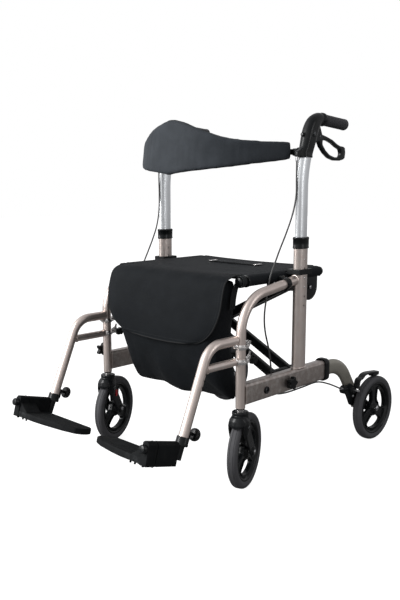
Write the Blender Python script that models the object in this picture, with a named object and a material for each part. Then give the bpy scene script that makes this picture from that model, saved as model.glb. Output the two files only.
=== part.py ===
"""Side-folding rollator with footrests.

Metres, +Z up, the front faces -Y and the object's left is +X. The floor is Z = 0.
While it is built, Y is measured from the centre line of the rear posts. The root
empty then moves the whole model so that it stands centred on its own length.
"""
import math

import bmesh
import bpy
from mathutils import Matrix, Vector

# Clearances
SEAT_GAP = 0.0003
RUNNING_GAP = 0.0003
TUBE_SEGMENTS = 12

# Side frame, each given for the left side
SIDE_X = 0.268
FRONT_TUBE_Y = -0.250
FRONT_TUBE_RADIUS = 0.0127
FRONT_TUBE_WALL = 0.0020
FRONT_TUBE_FOOT_Z = 0.225
FRONT_BEND_START_Z = 0.416
FRONT_BEND_RADIUS = 0.100
FRONT_TOP_SLOPE = 8.0

POST_Y = -0.004
POST_DEPTH = 0.050
POST_WIDTH = 0.030
POST_WALL = 0.0020
POST_TOP_Z = 0.642

BEAM_HEIGHT = 0.056
BEAM_WIDTH = 0.030
BEAM_CORNER = 0.009
BEAM_WALL = 0.0020
BEAM_Z = 0.260
BEAM_REAR_Y = 0.114

# Post collar, the black mouth that guides the handle tube
COLLAR_WALL = 0.0045
COLLAR_SKIRT = 0.030
COLLAR_LIP = 0.008

# Handle tube and what it carries
TUBE_DEPTH = 0.044
TUBE_WIDTH = 0.024
TUBE_WALL = 0.0016
TUBE_FOOT_Z = 0.440
TUBE_BEND_Z = 0.780
TUBE_BEND_RADIUS = 0.300
TUBE_LEAN = 16.0
TUBE_TOP_Z = 0.905
HOUSING_FOOT_Z = 0.862
HOUSING_WIDTH = 0.030
GRIP_START_Y = 0.084
GRIP_Z = 0.965
GRIP_LENGTH = 0.112
GRIP_RADIUS = 0.0150
GRIP_RIDGE = 0.0014
GRIP_DROOP = 4.0
GRIP_CORE_RADIUS = 0.0100
LEVER_WIDTH = 0.013
LEVER_PIVOT = (0.060, 0.918)
LEVER_BOSS_RADIUS = 0.011
LEVER_PIN_RADIUS = 0.0030

# Rear leg, axle bracket and brake
LEG_DEPTH = 0.044
LEG_WIDTH = 0.022
LEG_WALL = 0.0020
LEG_START_Y = 0.050
LEG_BEND_Y = 0.150
LEG_BEND_RADIUS = 0.105
LEG_BEND_ANGLE = 56.0
LEG_DROP = 0.114
LEG_COLLAR_LENGTH = 0.020
BRACKET_THICKNESS = 0.0040
AXLE_RADIUS = 0.0040

# Wheels
WHEEL_RADIUS = 0.100
TYRE_INNER_RADIUS = 0.081
WHEEL_WIDTH = 0.028
HUB_RADIUS = 0.017
HUB_LENGTH = 0.0274
WEB_THICKNESS = 0.007
RIM_RING = 0.010
WINDOW_INNER = 0.026
WINDOW_OUTER = 0.064
WINDOW_COUNT = 3
WINDOW_SPREAD = 44.0
WHEEL_SEGMENTS = 24
REAR_WHEEL_X = 0.302
REAR_WHEEL_Y = 0.348

# Casters
CASTER_TRAIL = 0.035
CASTER_TURN = 200.0
CROWN_RADIUS = 0.027
CROWN_TOP_Z = 0.2165
CROWN_BOTTOM_Z = 0.1975
FORK_GAP = 0.0055
FORK_THICKNESS = 0.0055
STEM_RADIUS = 0.0060
SPACER_RADIUS = 0.0098

# Brake arm
BRAKE_PIVOT = (0.247, 0.174)
BRAKE_BAR = 0.006
SHOE_CLEARANCE = 0.0035

# Crossed braces and seat
PIVOT_X = 0.232
LOWER_PIVOT_Z = 0.275
UPPER_PIVOT_Z = 0.508
BRACE_PIN_RADIUS = 0.0040
BRACE_SLEEVE_RADIUS = 0.0100
BRACE_BAR_DEPTH = 0.024
BRACE_BAR_WIDTH = 0.016
BRACE_CENTRE_Y = -0.040
BRACE_A_SPREAD = 0.036
BRACE_B_SPREAD = 0.013
SLEEVE_LENGTH = 0.092
LUG_THICKNESS = 0.005
RAIL_Z = 0.543
RAIL_RADIUS = 0.0125
RAIL_WALL = 0.0020
RAIL_FRONT_Y = -0.190
RAIL_REAR_Y = 0.130
SEAT_THICKNESS = 0.0030
STRAP_LENGTH = 0.190
STRAP_WIDTH = 0.026
STRAP_Y = 0.031
DISC_RADIUS = 0.038

# Backrest band
BACKREST_THICKNESS = 0.026
BACKREST_CLEARANCE = 0.0045
BACKREST_END_ANGLE = 1.0
BACKREST_PIVOT = (0.004, 0.877)
SOCKET_REACH = 0.0165
SOCKET_RADIUS = 0.010

# Bag
BAG_HALF_WIDTH = 0.215

# Brake cable, from the housing's stop to the stop on the axle bracket
CABLE_RADIUS = 0.0023
CABLE_START = Vector((0.2680, -0.0295, HOUSING_FOOT_Z + 0.0004))
CABLE_END = Vector((0.2815, 0.2060, 0.1835))
CABLE_END_WAY = Vector((0, 0.955, -0.296)).normalized()
CABLE_ROUTE = (
    (0.2680, -0.0295, 0.8100),
    (0.2675, -0.0290, 0.7600),
    (0.2620, -0.0360, 0.7120),
    (0.2550, -0.0530, 0.6620),
    (0.2515, -0.0760, 0.6180),
    (0.2510, -0.0945, 0.5845),
    (0.2510, -0.1150, 0.5460),
    (0.2510, -0.1265, 0.5020),
    (0.2510, -0.1360, 0.4500),
    (0.2510, -0.1320, 0.4050),
    (0.2500, -0.1130, 0.3500),
    (0.2495, -0.1030, 0.3000),
    (0.2495, -0.0990, 0.2600),
    (0.2500, -0.0870, 0.2270),
    (0.2520, -0.0400, 0.2175),
    (0.2520, 0.0400, 0.2175),
    (0.2535, 0.1080, 0.2190),
    (0.2630, 0.1560, 0.2060),
)

# Footrest hanger
HANGER_X = 0.262
HANGER_RADIUS = 0.0125
HANGER_WALL = 0.0020
HANGER_TOP_Z = 0.402
HANGER_BEND_RADIUS = 0.060
HANGER_SLOPE = 23.1
HANGER_END_Y = -0.4545
HANGER_END_Z = 0.1865
HANGER_BRACE_Z = 0.347
HANGER_BRACE_RADIUS = 0.0100
CLAMP_HEIGHT = 0.014
CLAMP_WALL = 0.004
UPPER_CLAMP_Z = 0.385
FOOT_TUBE_RADIUS = 0.0095
FOOT_TUBE_INSIDE = 0.130
FOOT_TUBE_OUTSIDE = 0.018
FOOT_TUBE_TAIL = 0.026
SLEEVE_WALL = 0.003
SLEEVE_ABOVE = 0.012
SLEEVE_BELOW = 0.010
SLEEVE_KNOB_RISE = 0.0225
SLEEVE_TAB_RADIUS = 0.004

# Footplate, in its own frame: forward along the hinge rod, inboard, and up
PLATE_TILT = 15.0
ROD_RADIUS = 0.0050
ROD_LENGTH = 0.124
BLOCK_START = 0.014
BLOCK_LENGTH = 0.100
BLOCK_THICKNESS = 0.022
BLOCK_TOP = 0.018
BLOCK_BOTTOM = -0.039
PLATE_THICKNESS = 0.016
PLATE_REACH = 0.227
PLATE_TIP_FRONT = 0.079
CAP_RADIUS = 0.010

X_AXIS = Vector((1, 0, 0))
Y_AXIS = Vector((0, 1, 0))
Z_AXIS = Vector((0, 0, 1))

BEAM_TOP_Z = BEAM_Z + BEAM_HEIGHT / 2
SOCKET_X = SIDE_X - SOCKET_REACH
BACKREST_RADIUS = SOCKET_X - BACKREST_CLEARANCE
REAR_REACH = REAR_WHEEL_Y + WHEEL_RADIUS

COLOURS = {
    "frame": ((0.36, 0.29, 0.26), 0.35, 0.8),
    "leg": ((0.25, 0.21, 0.18), 0.40, 0.8),
    "silver": ((0.80, 0.81, 0.83), 0.30, 0.9),
    "chrome": ((0.75, 0.75, 0.76), 0.20, 1.0),
    "plastic": ((0.020, 0.020, 0.022), 0.45, 0.0),
    "rubber": ((0.025, 0.025, 0.027), 0.70, 0.0),
    "fabric": ((0.018, 0.019, 0.022), 0.90, 0.0),
    "black_steel": ((0.015, 0.015, 0.017), 0.40, 0.3),
}

PLACES = {}
EMPTIES = {}


# Outlines for sweeps

def stadium(depth, width, segments=TUBE_SEGMENTS):
    """Flat oval: `width` across, `depth` along the second axis."""
    radius = min(depth, width) / 2
    straight = (depth - width) / 2
    points = []
    for i in range(segments):
        angle = 2 * math.pi * (i + 0.5) / segments
        shift = straight if math.sin(angle) > 0 else -straight
        points.append((radius * math.cos(angle), radius * math.sin(angle) + shift))
    return points


def circle(radius, segments=TUBE_SEGMENTS):
    return stadium(2 * radius, 2 * radius, segments)


def rounded_box(width, height, corner, steps=3):
    """Rounded rectangle as a list of points, anticlockwise."""
    points = []
    for turn, (sx, sy) in enumerate(((1, 1), (-1, 1), (-1, -1), (1, -1))):
        for i in range(steps):
            angle = math.pi / 2 * (turn + i / (steps - 1))
            points.append((sx * (width / 2 - corner) + corner * math.cos(angle),
                           sy * (height / 2 - corner) + corner * math.sin(angle)))
    return points


def arc_yz(x, centre_y, centre_z, radius, start, end, steps):
    """Points on an arc in a plane of constant X, with angles in degrees from +Y."""
    points = []
    for i in range(steps + 1):
        angle = math.radians(start + (end - start) * i / steps)
        points.append(Vector((x, centre_y + radius * math.cos(angle),
                              centre_z + radius * math.sin(angle))))
    return points


# Solids

def sweep(path, outer, inner=None, side=X_AXIS, end_normals=(None, None)):
    """Carry an outline along a path. An inner outline makes it a tube with open ends."""
    path = [Vector(p) for p in path]
    shape = bmesh.new()
    skins = [outer] if inner is None else [outer, inner]
    rows = [[] for _ in skins]
    last = len(path) - 1
    for i, point in enumerate(path):
        before = path[i] - path[i - 1] if i else path[1] - path[0]
        after = path[i + 1] - path[i] if i < last else before
        tangent = (before.normalized() + after.normalized()).normalized()
        across = (side - tangent * side.dot(tangent)).normalized()
        upward = tangent.cross(across)
        spread = 1 / max(0.5, tangent.dot(after.normalized()))
        normal = end_normals[0] if i == 0 else end_normals[1] if i == last else None
        for skin, row in zip(skins, rows):
            ring = []
            for u, v in skin:
                place = point + across * u + upward * v * spread
                if normal is not None:
                    place -= tangent * (place - point).dot(normal) / tangent.dot(normal)
                ring.append(shape.verts.new(place))
            row.append(ring)
    for row in rows:
        for a, b in zip(row, row[1:]):
            for k in range(len(a)):
                n = (k + 1) % len(a)
                shape.faces.new((a[k], a[n], b[n], b[k]))
    for end in (0, last):
        if inner is None:
            shape.faces.new(rows[0][end])
        else:
            a, b = rows[0][end], rows[1][end]
            for k in range(len(a)):
                n = (k + 1) % len(a)
                shape.faces.new((a[k], a[n], b[n], b[k]))
    bmesh.ops.recalc_face_normals(shape, faces=shape.faces)
    return shape


def revolve(profile, segments, centre=(0, 0, 0), axis="Z"):
    """Turn (radius, height) points about an axis. Zero radii become poles."""
    shape = bmesh.new()
    columns = []
    closed = all(radius > 0 for radius, _ in profile)
    for k in range(segments):
        angle = 2 * math.pi * (k + 0.5) / segments
        columns.append([Vector((r * math.cos(angle), r * math.sin(angle), h)) for r, h in profile])
    poles = {i: shape.verts.new((0, 0, profile[i][1]))
             for i in range(len(profile)) if profile[i][0] == 0}
    verts = [[poles[i] if i in poles else shape.verts.new(column[i])
              for i in range(len(profile))] for column in columns]
    count = len(profile)
    for k in range(segments):
        a, b = verts[k], verts[(k + 1) % segments]
        for i in range(count if closed else count - 1):
            j = (i + 1) % count
            corners = [a[i], b[i], b[j], a[j]]
            unique = [v for n, v in enumerate(corners) if v not in corners[:n]]
            if len(unique) > 2:
                shape.faces.new(unique)
    if axis == "X":
        bmesh.ops.rotate(shape, verts=shape.verts, matrix=Matrix.Rotation(math.pi / 2, 3, "Y"))
    elif axis == "Y":
        bmesh.ops.rotate(shape, verts=shape.verts, matrix=Matrix.Rotation(-math.pi / 2, 3, "X"))
    bmesh.ops.translate(shape, verts=shape.verts, vec=centre)
    bmesh.ops.recalc_face_normals(shape, faces=shape.faces)
    return shape


def rod(start, end, radius, segments=TUBE_SEGMENTS, bore=None):
    """Straight round bar, or a tube where a bore radius is given."""
    start, end = Vector(start), Vector(end)
    along = (end - start).normalized()
    side = Z_AXIS if abs(along.z) < 0.7 else X_AXIS
    inner = None if bore is None else circle(bore, segments)
    return sweep([start, end], circle(radius, segments), inner, side=side)


def slab(outline, start, thickness, axes=(Y_AXIS, Z_AXIS, X_AXIS), origin=(0, 0, 0), holes=()):
    """Flat plate: outlines lie along the first two axes, the thickness along the third."""
    shape = bmesh.new()
    first, second, third = axes
    origin = Vector(origin)
    edges = []
    for loop in (outline, *holes):
        verts = [shape.verts.new(origin + first * u + second * v + third * start) for u, v in loop]
        edges += [shape.edges.new((verts[i], verts[(i + 1) % len(verts)])) for i in range(len(verts))]
    if holes:
        bmesh.ops.triangle_fill(shape, edges=edges, use_beauty=True)
    else:
        shape.faces.new(shape.verts)
    grown = bmesh.ops.extrude_face_region(shape, geom=shape.faces[:])
    moved = [v for v in grown["geom"] if isinstance(v, bmesh.types.BMVert)]
    bmesh.ops.translate(shape, verts=moved, vec=third * thickness)
    bmesh.ops.recalc_face_normals(shape, faces=shape.faces)
    return shape


def boolean(base, tool, operation):
    """Cut, join or intersect two solids and return the result."""
    objects = []
    for shape in (base, tool):
        mesh = bpy.data.meshes.new("operand")
        shape.to_mesh(mesh)
        shape.free()
        operand = bpy.data.objects.new("operand", mesh)
        bpy.context.collection.objects.link(operand)
        objects.append(operand)
    modifier = objects[0].modifiers.new("boolean", "BOOLEAN")
    modifier.operation = operation
    modifier.object = objects[1]
    evaluated = objects[0].evaluated_get(bpy.context.evaluated_depsgraph_get())
    result = bmesh.new()
    result.from_mesh(evaluated.to_mesh())
    evaluated.to_mesh_clear()
    for operand in objects:
        mesh = operand.data
        bpy.data.objects.remove(operand)
        bpy.data.meshes.remove(mesh)
    return result


def fuse(*shapes):
    whole = shapes[0]
    for shape in shapes[1:]:
        whole = boolean(whole, shape, "UNION")
    return whole


def cut(base, *tools):
    for tool in tools:
        base = boolean(base, tool, "DIFFERENCE")
    return base


# Scene tree

def make_joint(name, parent, place, turn_z=0.0):
    """An empty on a joint's axis. Pieces of the body that it moves hang from it."""
    empty = bpy.data.objects.new(name, None)
    bpy.context.collection.objects.link(empty)
    PLACES[name] = Vector(place)
    if parent is not None:
        empty.parent = EMPTIES[parent]
        empty.location = PLACES[name] - PLACES[parent]
    empty.rotation_euler = (0, 0, turn_z)
    EMPTIES[name] = empty


def make_material(name, finish):
    colour, roughness, metallic = COLOURS[finish]
    material = bpy.data.materials.new(name + "_finish")
    material.use_nodes = True
    shader = material.node_tree.nodes["Principled BSDF"]
    shader.inputs["Base Color"].default_value = (*colour, 1)
    shader.inputs["Roughness"].default_value = roughness
    shader.inputs["Metallic"].default_value = metallic
    material.diffuse_color = (*colour, 1)
    return material


def add(name, shape, finish, joint, hand=1, local=False):
    """Make the named object. Shapes are drawn for the left side and mirrored for the right."""
    if hand < 0:
        bmesh.ops.scale(shape, verts=shape.verts, vec=(-1, 1, 1))
        bmesh.ops.reverse_faces(shape, faces=shape.faces)
    if not local:
        bmesh.ops.translate(shape, verts=shape.verts, vec=-PLACES[joint])
    mesh = bpy.data.meshes.new(name)
    shape.to_mesh(mesh)
    shape.free()
    mesh.shade_smooth()
    mesh.set_sharp_from_angle(angle=math.radians(35))
    mesh.materials.append(make_material(name, finish))
    piece = bpy.data.objects.new(name, mesh)
    bpy.context.collection.objects.link(piece)
    piece.parent = EMPTIES[joint]
    return piece


# Side frame

def front_tube_end():
    """Where the front tube's top run meets the front face of the post."""
    bend = math.radians(90 - FRONT_TOP_SLOPE)
    y = FRONT_TUBE_Y + FRONT_BEND_RADIUS * (1 - math.cos(bend))
    z = FRONT_BEND_START_Z + FRONT_BEND_RADIUS * math.sin(bend)
    end_y = POST_Y - POST_DEPTH / 2 - SEAT_GAP
    return end_y, z + (end_y - y) * math.tan(math.radians(FRONT_TOP_SLOPE))


def front_tube():
    end_y, end_z = front_tube_end()
    path = [Vector((SIDE_X, FRONT_TUBE_Y, FRONT_TUBE_FOOT_Z))]
    path += arc_yz(SIDE_X, FRONT_TUBE_Y + FRONT_BEND_RADIUS, FRONT_BEND_START_Z, FRONT_BEND_RADIUS,
                   180, 90 + FRONT_TOP_SLOPE, 6)
    path.append(Vector((SIDE_X, end_y, end_z)))
    return sweep(path, circle(FRONT_TUBE_RADIUS), circle(FRONT_TUBE_RADIUS - FRONT_TUBE_WALL),
                 end_normals=(None, Y_AXIS))


def rear_post():
    path = [(SIDE_X, POST_Y, BEAM_TOP_Z + SEAT_GAP), (SIDE_X, POST_Y, POST_TOP_Z)]
    return sweep(path, stadium(POST_DEPTH, POST_WIDTH),
                 stadium(POST_DEPTH - 2 * POST_WALL, POST_WIDTH - 2 * POST_WALL))


def lower_beam():
    path = [(SIDE_X, FRONT_TUBE_Y, BEAM_Z), (SIDE_X, BEAM_REAR_Y, BEAM_Z)]
    inner = rounded_box(BEAM_WIDTH - 2 * BEAM_WALL, BEAM_HEIGHT - 2 * BEAM_WALL, BEAM_CORNER - BEAM_WALL)
    beam = sweep(path, rounded_box(BEAM_WIDTH, BEAM_HEIGHT, BEAM_CORNER), inner)
    saddle = rod((SIDE_X, FRONT_TUBE_Y, BEAM_Z - BEAM_HEIGHT), (SIDE_X, FRONT_TUBE_Y, BEAM_Z + BEAM_HEIGHT),
                 FRONT_TUBE_RADIUS + SEAT_GAP, 2 * TUBE_SEGMENTS)
    return fuse(cut(beam, saddle), *beam_fasteners())


def post_collar():
    """A stepped mouth: its skirt grips the post, its lip guides the handle tube."""
    top = POST_TOP_Z + COLLAR_LIP
    depth, width = POST_DEPTH + 2 * COLLAR_WALL, POST_WIDTH + 2 * COLLAR_WALL
    body = sweep([(SIDE_X, POST_Y, POST_TOP_Z - COLLAR_SKIRT), (SIDE_X, POST_Y, top)],
                 stadium(depth, width))
    socket = sweep([(SIDE_X, POST_Y, POST_TOP_Z - 2 * COLLAR_SKIRT), (SIDE_X, POST_Y, POST_TOP_Z + SEAT_GAP)],
                   stadium(POST_DEPTH + 2 * SEAT_GAP, POST_WIDTH + 2 * SEAT_GAP))
    guide = sweep([(SIDE_X, POST_Y, POST_TOP_Z - COLLAR_SKIRT), (SIDE_X, POST_Y, top + COLLAR_LIP)],
                  stadium(TUBE_DEPTH + 2 * RUNNING_GAP, TUBE_WIDTH + 2 * RUNNING_GAP))
    return cut(body, socket, guide)


def leg_collar():
    """Black ring over the beam's rear end, with the rear leg through it."""
    height, width = BEAM_HEIGHT + 2 * COLLAR_WALL, BEAM_WIDTH + 2 * COLLAR_WALL
    start = BEAM_REAR_Y - LEG_COLLAR_LENGTH / 2
    end = BEAM_REAR_Y + LEG_COLLAR_LENGTH / 2
    body = sweep([(SIDE_X, start, BEAM_Z), (SIDE_X, end, BEAM_Z)],
                 rounded_box(width, height, BEAM_CORNER + COLLAR_WALL))
    socket = sweep([(SIDE_X, start - COLLAR_SKIRT, BEAM_Z), (SIDE_X, BEAM_REAR_Y + SEAT_GAP, BEAM_Z)],
                   rounded_box(BEAM_WIDTH + 2 * SEAT_GAP, BEAM_HEIGHT + 2 * SEAT_GAP, BEAM_CORNER + SEAT_GAP))
    guide = sweep([(SIDE_X, start, BEAM_Z), (SIDE_X, end + COLLAR_SKIRT, BEAM_Z)],
                  stadium(LEG_DEPTH + 2 * SEAT_GAP, LEG_WIDTH + 2 * SEAT_GAP))
    return cut(body, socket, guide)


def leg_path():
    """Level inside the beam, then bent down towards the rear axle."""
    path = [Vector((SIDE_X, LEG_START_Y, BEAM_Z))]
    path += arc_yz(SIDE_X, LEG_BEND_Y, BEAM_Z - LEG_BEND_RADIUS, LEG_BEND_RADIUS,
                   90, 90 - LEG_BEND_ANGLE, 5)
    fall = math.radians(LEG_BEND_ANGLE)
    path.append(path[-1] + Vector((0, math.cos(fall), -math.sin(fall))) * LEG_DROP)
    return path


def rear_leg():
    return sweep(leg_path(), stadium(LEG_DEPTH, LEG_WIDTH),
                 stadium(LEG_DEPTH - 2 * LEG_WALL, LEG_WIDTH - 2 * LEG_WALL))


def bracket_x():
    return SIDE_X + LEG_WIDTH / 2 + SEAT_GAP


def axle_bracket():
    """Plate on the outside of the leg with the axle bolt and the brake's pivot."""
    foot = leg_path()[-1]
    spots = ((REAR_WHEEL_Y, WHEEL_RADIUS, 0.014), (foot.y - 0.017, foot.z + 0.010, 0.015),
             (foot.y - 0.028, foot.z + 0.046, 0.018), (*BRAKE_PIVOT, 0.011),
             (CABLE_END.y + 0.016, CABLE_END.z - 0.004, 0.008))
    outline = hull([(y + r * math.cos(a), z + r * math.sin(a)) for y, z, r in spots
                    for a in (k * math.pi / 4 for k in range(8))])
    plate = slab(outline, bracket_x(), BRACKET_THICKNESS)
    outer = REAR_WHEEL_X + HUB_LENGTH / 2 + 0.004
    bolt = rod((bracket_x() + 0.001, REAR_WHEEL_Y, WHEEL_RADIUS), (outer, REAR_WHEEL_Y, WHEEL_RADIUS), AXLE_RADIUS)
    head = rod((REAR_WHEEL_X + HUB_LENGTH / 2 + SEAT_GAP, REAR_WHEEL_Y, WHEEL_RADIUS),
               (outer + 0.001, REAR_WHEEL_Y, WHEEL_RADIUS), 0.009)
    pin = rod((bracket_x() + 0.001, *BRAKE_PIVOT), (REAR_WHEEL_X + WHEEL_WIDTH / 2, *BRAKE_PIVOT), 0.003)
    spacer = rod((bracket_x() + 0.001, REAR_WHEEL_Y, WHEEL_RADIUS),
                 (REAR_WHEEL_X - HUB_LENGTH / 2 - SEAT_GAP, REAR_WHEEL_Y, WHEEL_RADIUS), 0.008)
    stop = rod(CABLE_END + CABLE_END_WAY * 2 * SEAT_GAP, CABLE_END + CABLE_END_WAY * 0.024, CABLE_RADIUS + 0.0025)
    return fuse(plate, spacer, bolt, head, pin, stop)


def hull(points):
    """Convex outline round a set of points."""
    points = sorted(set(points))
    sides = []
    for ordered in (points, points[::-1]):
        side = []
        for p in ordered:
            while len(side) > 1 and ((side[-1][0] - side[-2][0]) * (p[1] - side[-2][1])
                                     <= (side[-1][1] - side[-2][1]) * (p[0] - side[-2][0])):
                side.pop()
            side.append(p)
        sides += side[:-1]
    return sides


def saddle_ends():
    """Y of the front and rear faces of the clip round the post."""
    return POST_Y - POST_DEPTH / 2 - 0.004, POST_Y + POST_DEPTH / 2 + 0.004


def seat_saddle():
    """Clip round the post whose inboard cradle holds the seat rail."""
    front, rear = saddle_ends()
    low = front_tube_end()[1] + FRONT_TUBE_RADIUS + 0.002
    high = RAIL_Z + RAIL_RADIUS + 0.008
    inner = PIVOT_X - RAIL_RADIUS - 0.004
    outer = SIDE_X + POST_WIDTH / 2 + 0.004
    band = slab([(inner, low), (outer, low), (outer, high), (inner, high)], front, rear - front,
                axes=(X_AXIS, Z_AXIS, Y_AXIS))
    cradle_outer = SIDE_X - FRONT_TUBE_RADIUS - 0.001
    base = RAIL_Z - RAIL_RADIUS - 0.004
    cradle_front = lug_places()[1] + LUG_THICKNESS + 0.001
    cradle = slab([(inner, base), (cradle_outer, base), (cradle_outer, low + 0.001), (inner, low + 0.001)],
                  cradle_front, rear - cradle_front, axes=(X_AXIS, Z_AXIS, Y_AXIS))
    hole = sweep([(SIDE_X, POST_Y, base - 0.01), (SIDE_X, POST_Y, high + 0.01)],
                 stadium(POST_DEPTH + 2 * SEAT_GAP, POST_WIDTH + 2 * SEAT_GAP))
    clearance = RAIL_RADIUS + SEAT_GAP
    channel = rod((PIVOT_X, front - 0.01, RAIL_Z), (PIVOT_X, rear + 0.01, RAIL_Z), clearance, 24)
    opening = slab([(inner - 0.01, RAIL_Z), (PIVOT_X + clearance, RAIL_Z), (PIVOT_X + clearance, high + 0.01),
                    (inner - 0.01, high + 0.01)], front - 0.01, rear - front + 0.02,
                   axes=(X_AXIS, Z_AXIS, Y_AXIS))
    return cut(fuse(band, cradle), hole, channel, opening)


def lug_outline(radius, reach):
    """Tongue with a round end at the origin and a straight root `reach` away."""
    points = [(radius * math.cos(a), radius * math.sin(a))
              for a in (math.pi / 2 + math.pi * k / 6 for k in range(7))]
    return points + [(reach, -radius), (reach, radius)]


def pivot_pin(z):
    half = SLEEVE_LENGTH / 2 + LUG_THICKNESS + 0.002
    return rod((PIVOT_X, BRACE_CENTRE_Y - half, z), (PIVOT_X, BRACE_CENTRE_Y + half, z), BRACE_PIN_RADIUS)


def lug_places():
    """Y of the inner faces of the two lugs that hold a brace end between them."""
    gap = SLEEVE_LENGTH / 2 + RUNNING_GAP
    return (BRACE_CENTRE_Y - gap - LUG_THICKNESS, BRACE_CENTRE_Y + gap)


def beam_bracket():
    """Two lugs on the beam's inboard face and the pin of the brace's lower end."""
    reach = SIDE_X - BEAM_WIDTH / 2 - SEAT_GAP - PIVOT_X
    lugs = [slab(lug_outline(BRACE_SLEEVE_RADIUS + 0.001, reach), y, LUG_THICKNESS,
                 axes=(X_AXIS, Z_AXIS, Y_AXIS), origin=(PIVOT_X, 0, LOWER_PIVOT_Z)) for y in lug_places()]
    return fuse(*lugs, pivot_pin(LOWER_PIVOT_Z))


def seat_rail():
    """Plugged tube with two lugs and the upper brace pin under it, and a half-round tab at its rear."""
    profile = [(0, RAIL_REAR_Y + 0.009), (RAIL_RADIUS * 0.7, RAIL_REAR_Y + 0.007), (RAIL_RADIUS, RAIL_REAR_Y),
               (RAIL_RADIUS, RAIL_FRONT_Y), (RAIL_RADIUS * 0.7, RAIL_FRONT_Y - 0.007), (0, RAIL_FRONT_Y - 0.009)]
    tube = revolve(profile, TUBE_SEGMENTS, (PIVOT_X, 0, RAIL_Z), axis="Y")
    lugs = [slab(lug_outline(BRACE_SLEEVE_RADIUS + 0.001, RAIL_Z - UPPER_PIVOT_Z), y, LUG_THICKNESS,
                 axes=(Z_AXIS, -X_AXIS, Y_AXIS), origin=(PIVOT_X, 0, UPPER_PIVOT_Z)) for y in lug_places()]
    cavity = rod((PIVOT_X, RAIL_FRONT_Y + 0.012, RAIL_Z), (PIVOT_X, RAIL_REAR_Y - 0.012, RAIL_Z),
                 RAIL_RADIUS - RAIL_WALL)
    vent_y = (POST_Y + RAIL_REAR_Y - 2 * DISC_RADIUS) / 2
    vent = rod((PIVOT_X, vent_y, RAIL_Z - 0.02), (PIVOT_X, vent_y, RAIL_Z), 0.0025, 8)
    saddle = rod((PIVOT_X, RAIL_FRONT_Y, RAIL_Z), (PIVOT_X, RAIL_REAR_Y, RAIL_Z),
                 RAIL_RADIUS - RAIL_WALL / 2, 2 * TUBE_SEGMENTS)
    carried = cut(fuse(*lugs, rail_disc()), saddle)
    return fuse(cut(tube, cavity, vent), carried, pivot_pin(UPPER_PIVOT_Z))


def rail_disc():
    """Half-round tab under the rear end of the seat rail."""
    top = RAIL_Z - RAIL_RADIUS / 2
    low = RAIL_Z - RAIL_RADIUS - 0.030
    centre = RAIL_REAR_Y - DISC_RADIUS - 0.004
    outline = [(centre + DISC_RADIUS * math.cos(a), low + DISC_RADIUS * math.sin(a))
               for a in (-math.pi * k / 10 for k in range(11))]
    outline += [(centre - DISC_RADIUS, top), (centre + DISC_RADIUS, top)]
    plate = slab(outline, PIVOT_X - 0.003, 0.006)
    boss = rod((PIVOT_X, centre, low), (PIVOT_X + 0.006, centre, low), 0.006)
    return fuse(plate, boss)


# Wheels and casters

def tyre(centre):
    """Faceted tread whose flats, not its corners, touch the floor."""
    half = WHEEL_WIDTH / 2
    tread = WHEEL_RADIUS / math.cos(math.pi / WHEEL_SEGMENTS)
    profile = [(TYRE_INNER_RADIUS, -half * 0.80), (tread - 0.009, -half), (tread - 0.003, -half * 0.72),
               (tread, -half * 0.3), (tread, half * 0.3), (tread - 0.003, half * 0.72),
               (tread - 0.009, half), (TYRE_INNER_RADIUS, half * 0.80)]
    return revolve(profile, WHEEL_SEGMENTS, centre, axis="X")


def rim(centre):
    """Hub, web with three windows, and the ring under the tyre."""
    hub, web = HUB_LENGTH / 2, WEB_THICKNESS / 2
    ring_half = WHEEL_WIDTH / 2 * 0.80
    ring = TYRE_INNER_RADIUS - SEAT_GAP
    bore = AXLE_RADIUS + RUNNING_GAP
    half_profile = [(ring, ring_half), (ring - RIM_RING * 0.7, ring_half), (ring - RIM_RING, web),
                    (HUB_RADIUS, web), (HUB_RADIUS - 0.002, hub), (bore, hub)]
    profile = half_profile + [(r, -h) for r, h in reversed(half_profile)]
    body = revolve(profile, WHEEL_SEGMENTS, axis="X")
    windows = []
    for k in range(WINDOW_COUNT):
        middle = -math.pi / 2 + 2 * math.pi * k / WINDOW_COUNT
        spread = math.radians(WINDOW_SPREAD)
        outline = [(WINDOW_OUTER * math.cos(middle + spread * t), WINDOW_OUTER * math.sin(middle + spread * t))
                   for t in (-1, -0.6, -0.2, 0.2, 0.6, 1)]
        outline += [(WINDOW_INNER * math.cos(middle + spread * t), WINDOW_INNER * math.sin(middle + spread * t))
                    for t in (0.7, 0.25, -0.25, -0.7)]
        windows.append(slab(outline, -WHEEL_WIDTH, 2 * WHEEL_WIDTH))
    wheel = cut(body, *windows)
    bmesh.ops.translate(wheel, verts=wheel.verts, vec=centre)
    return wheel


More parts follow.
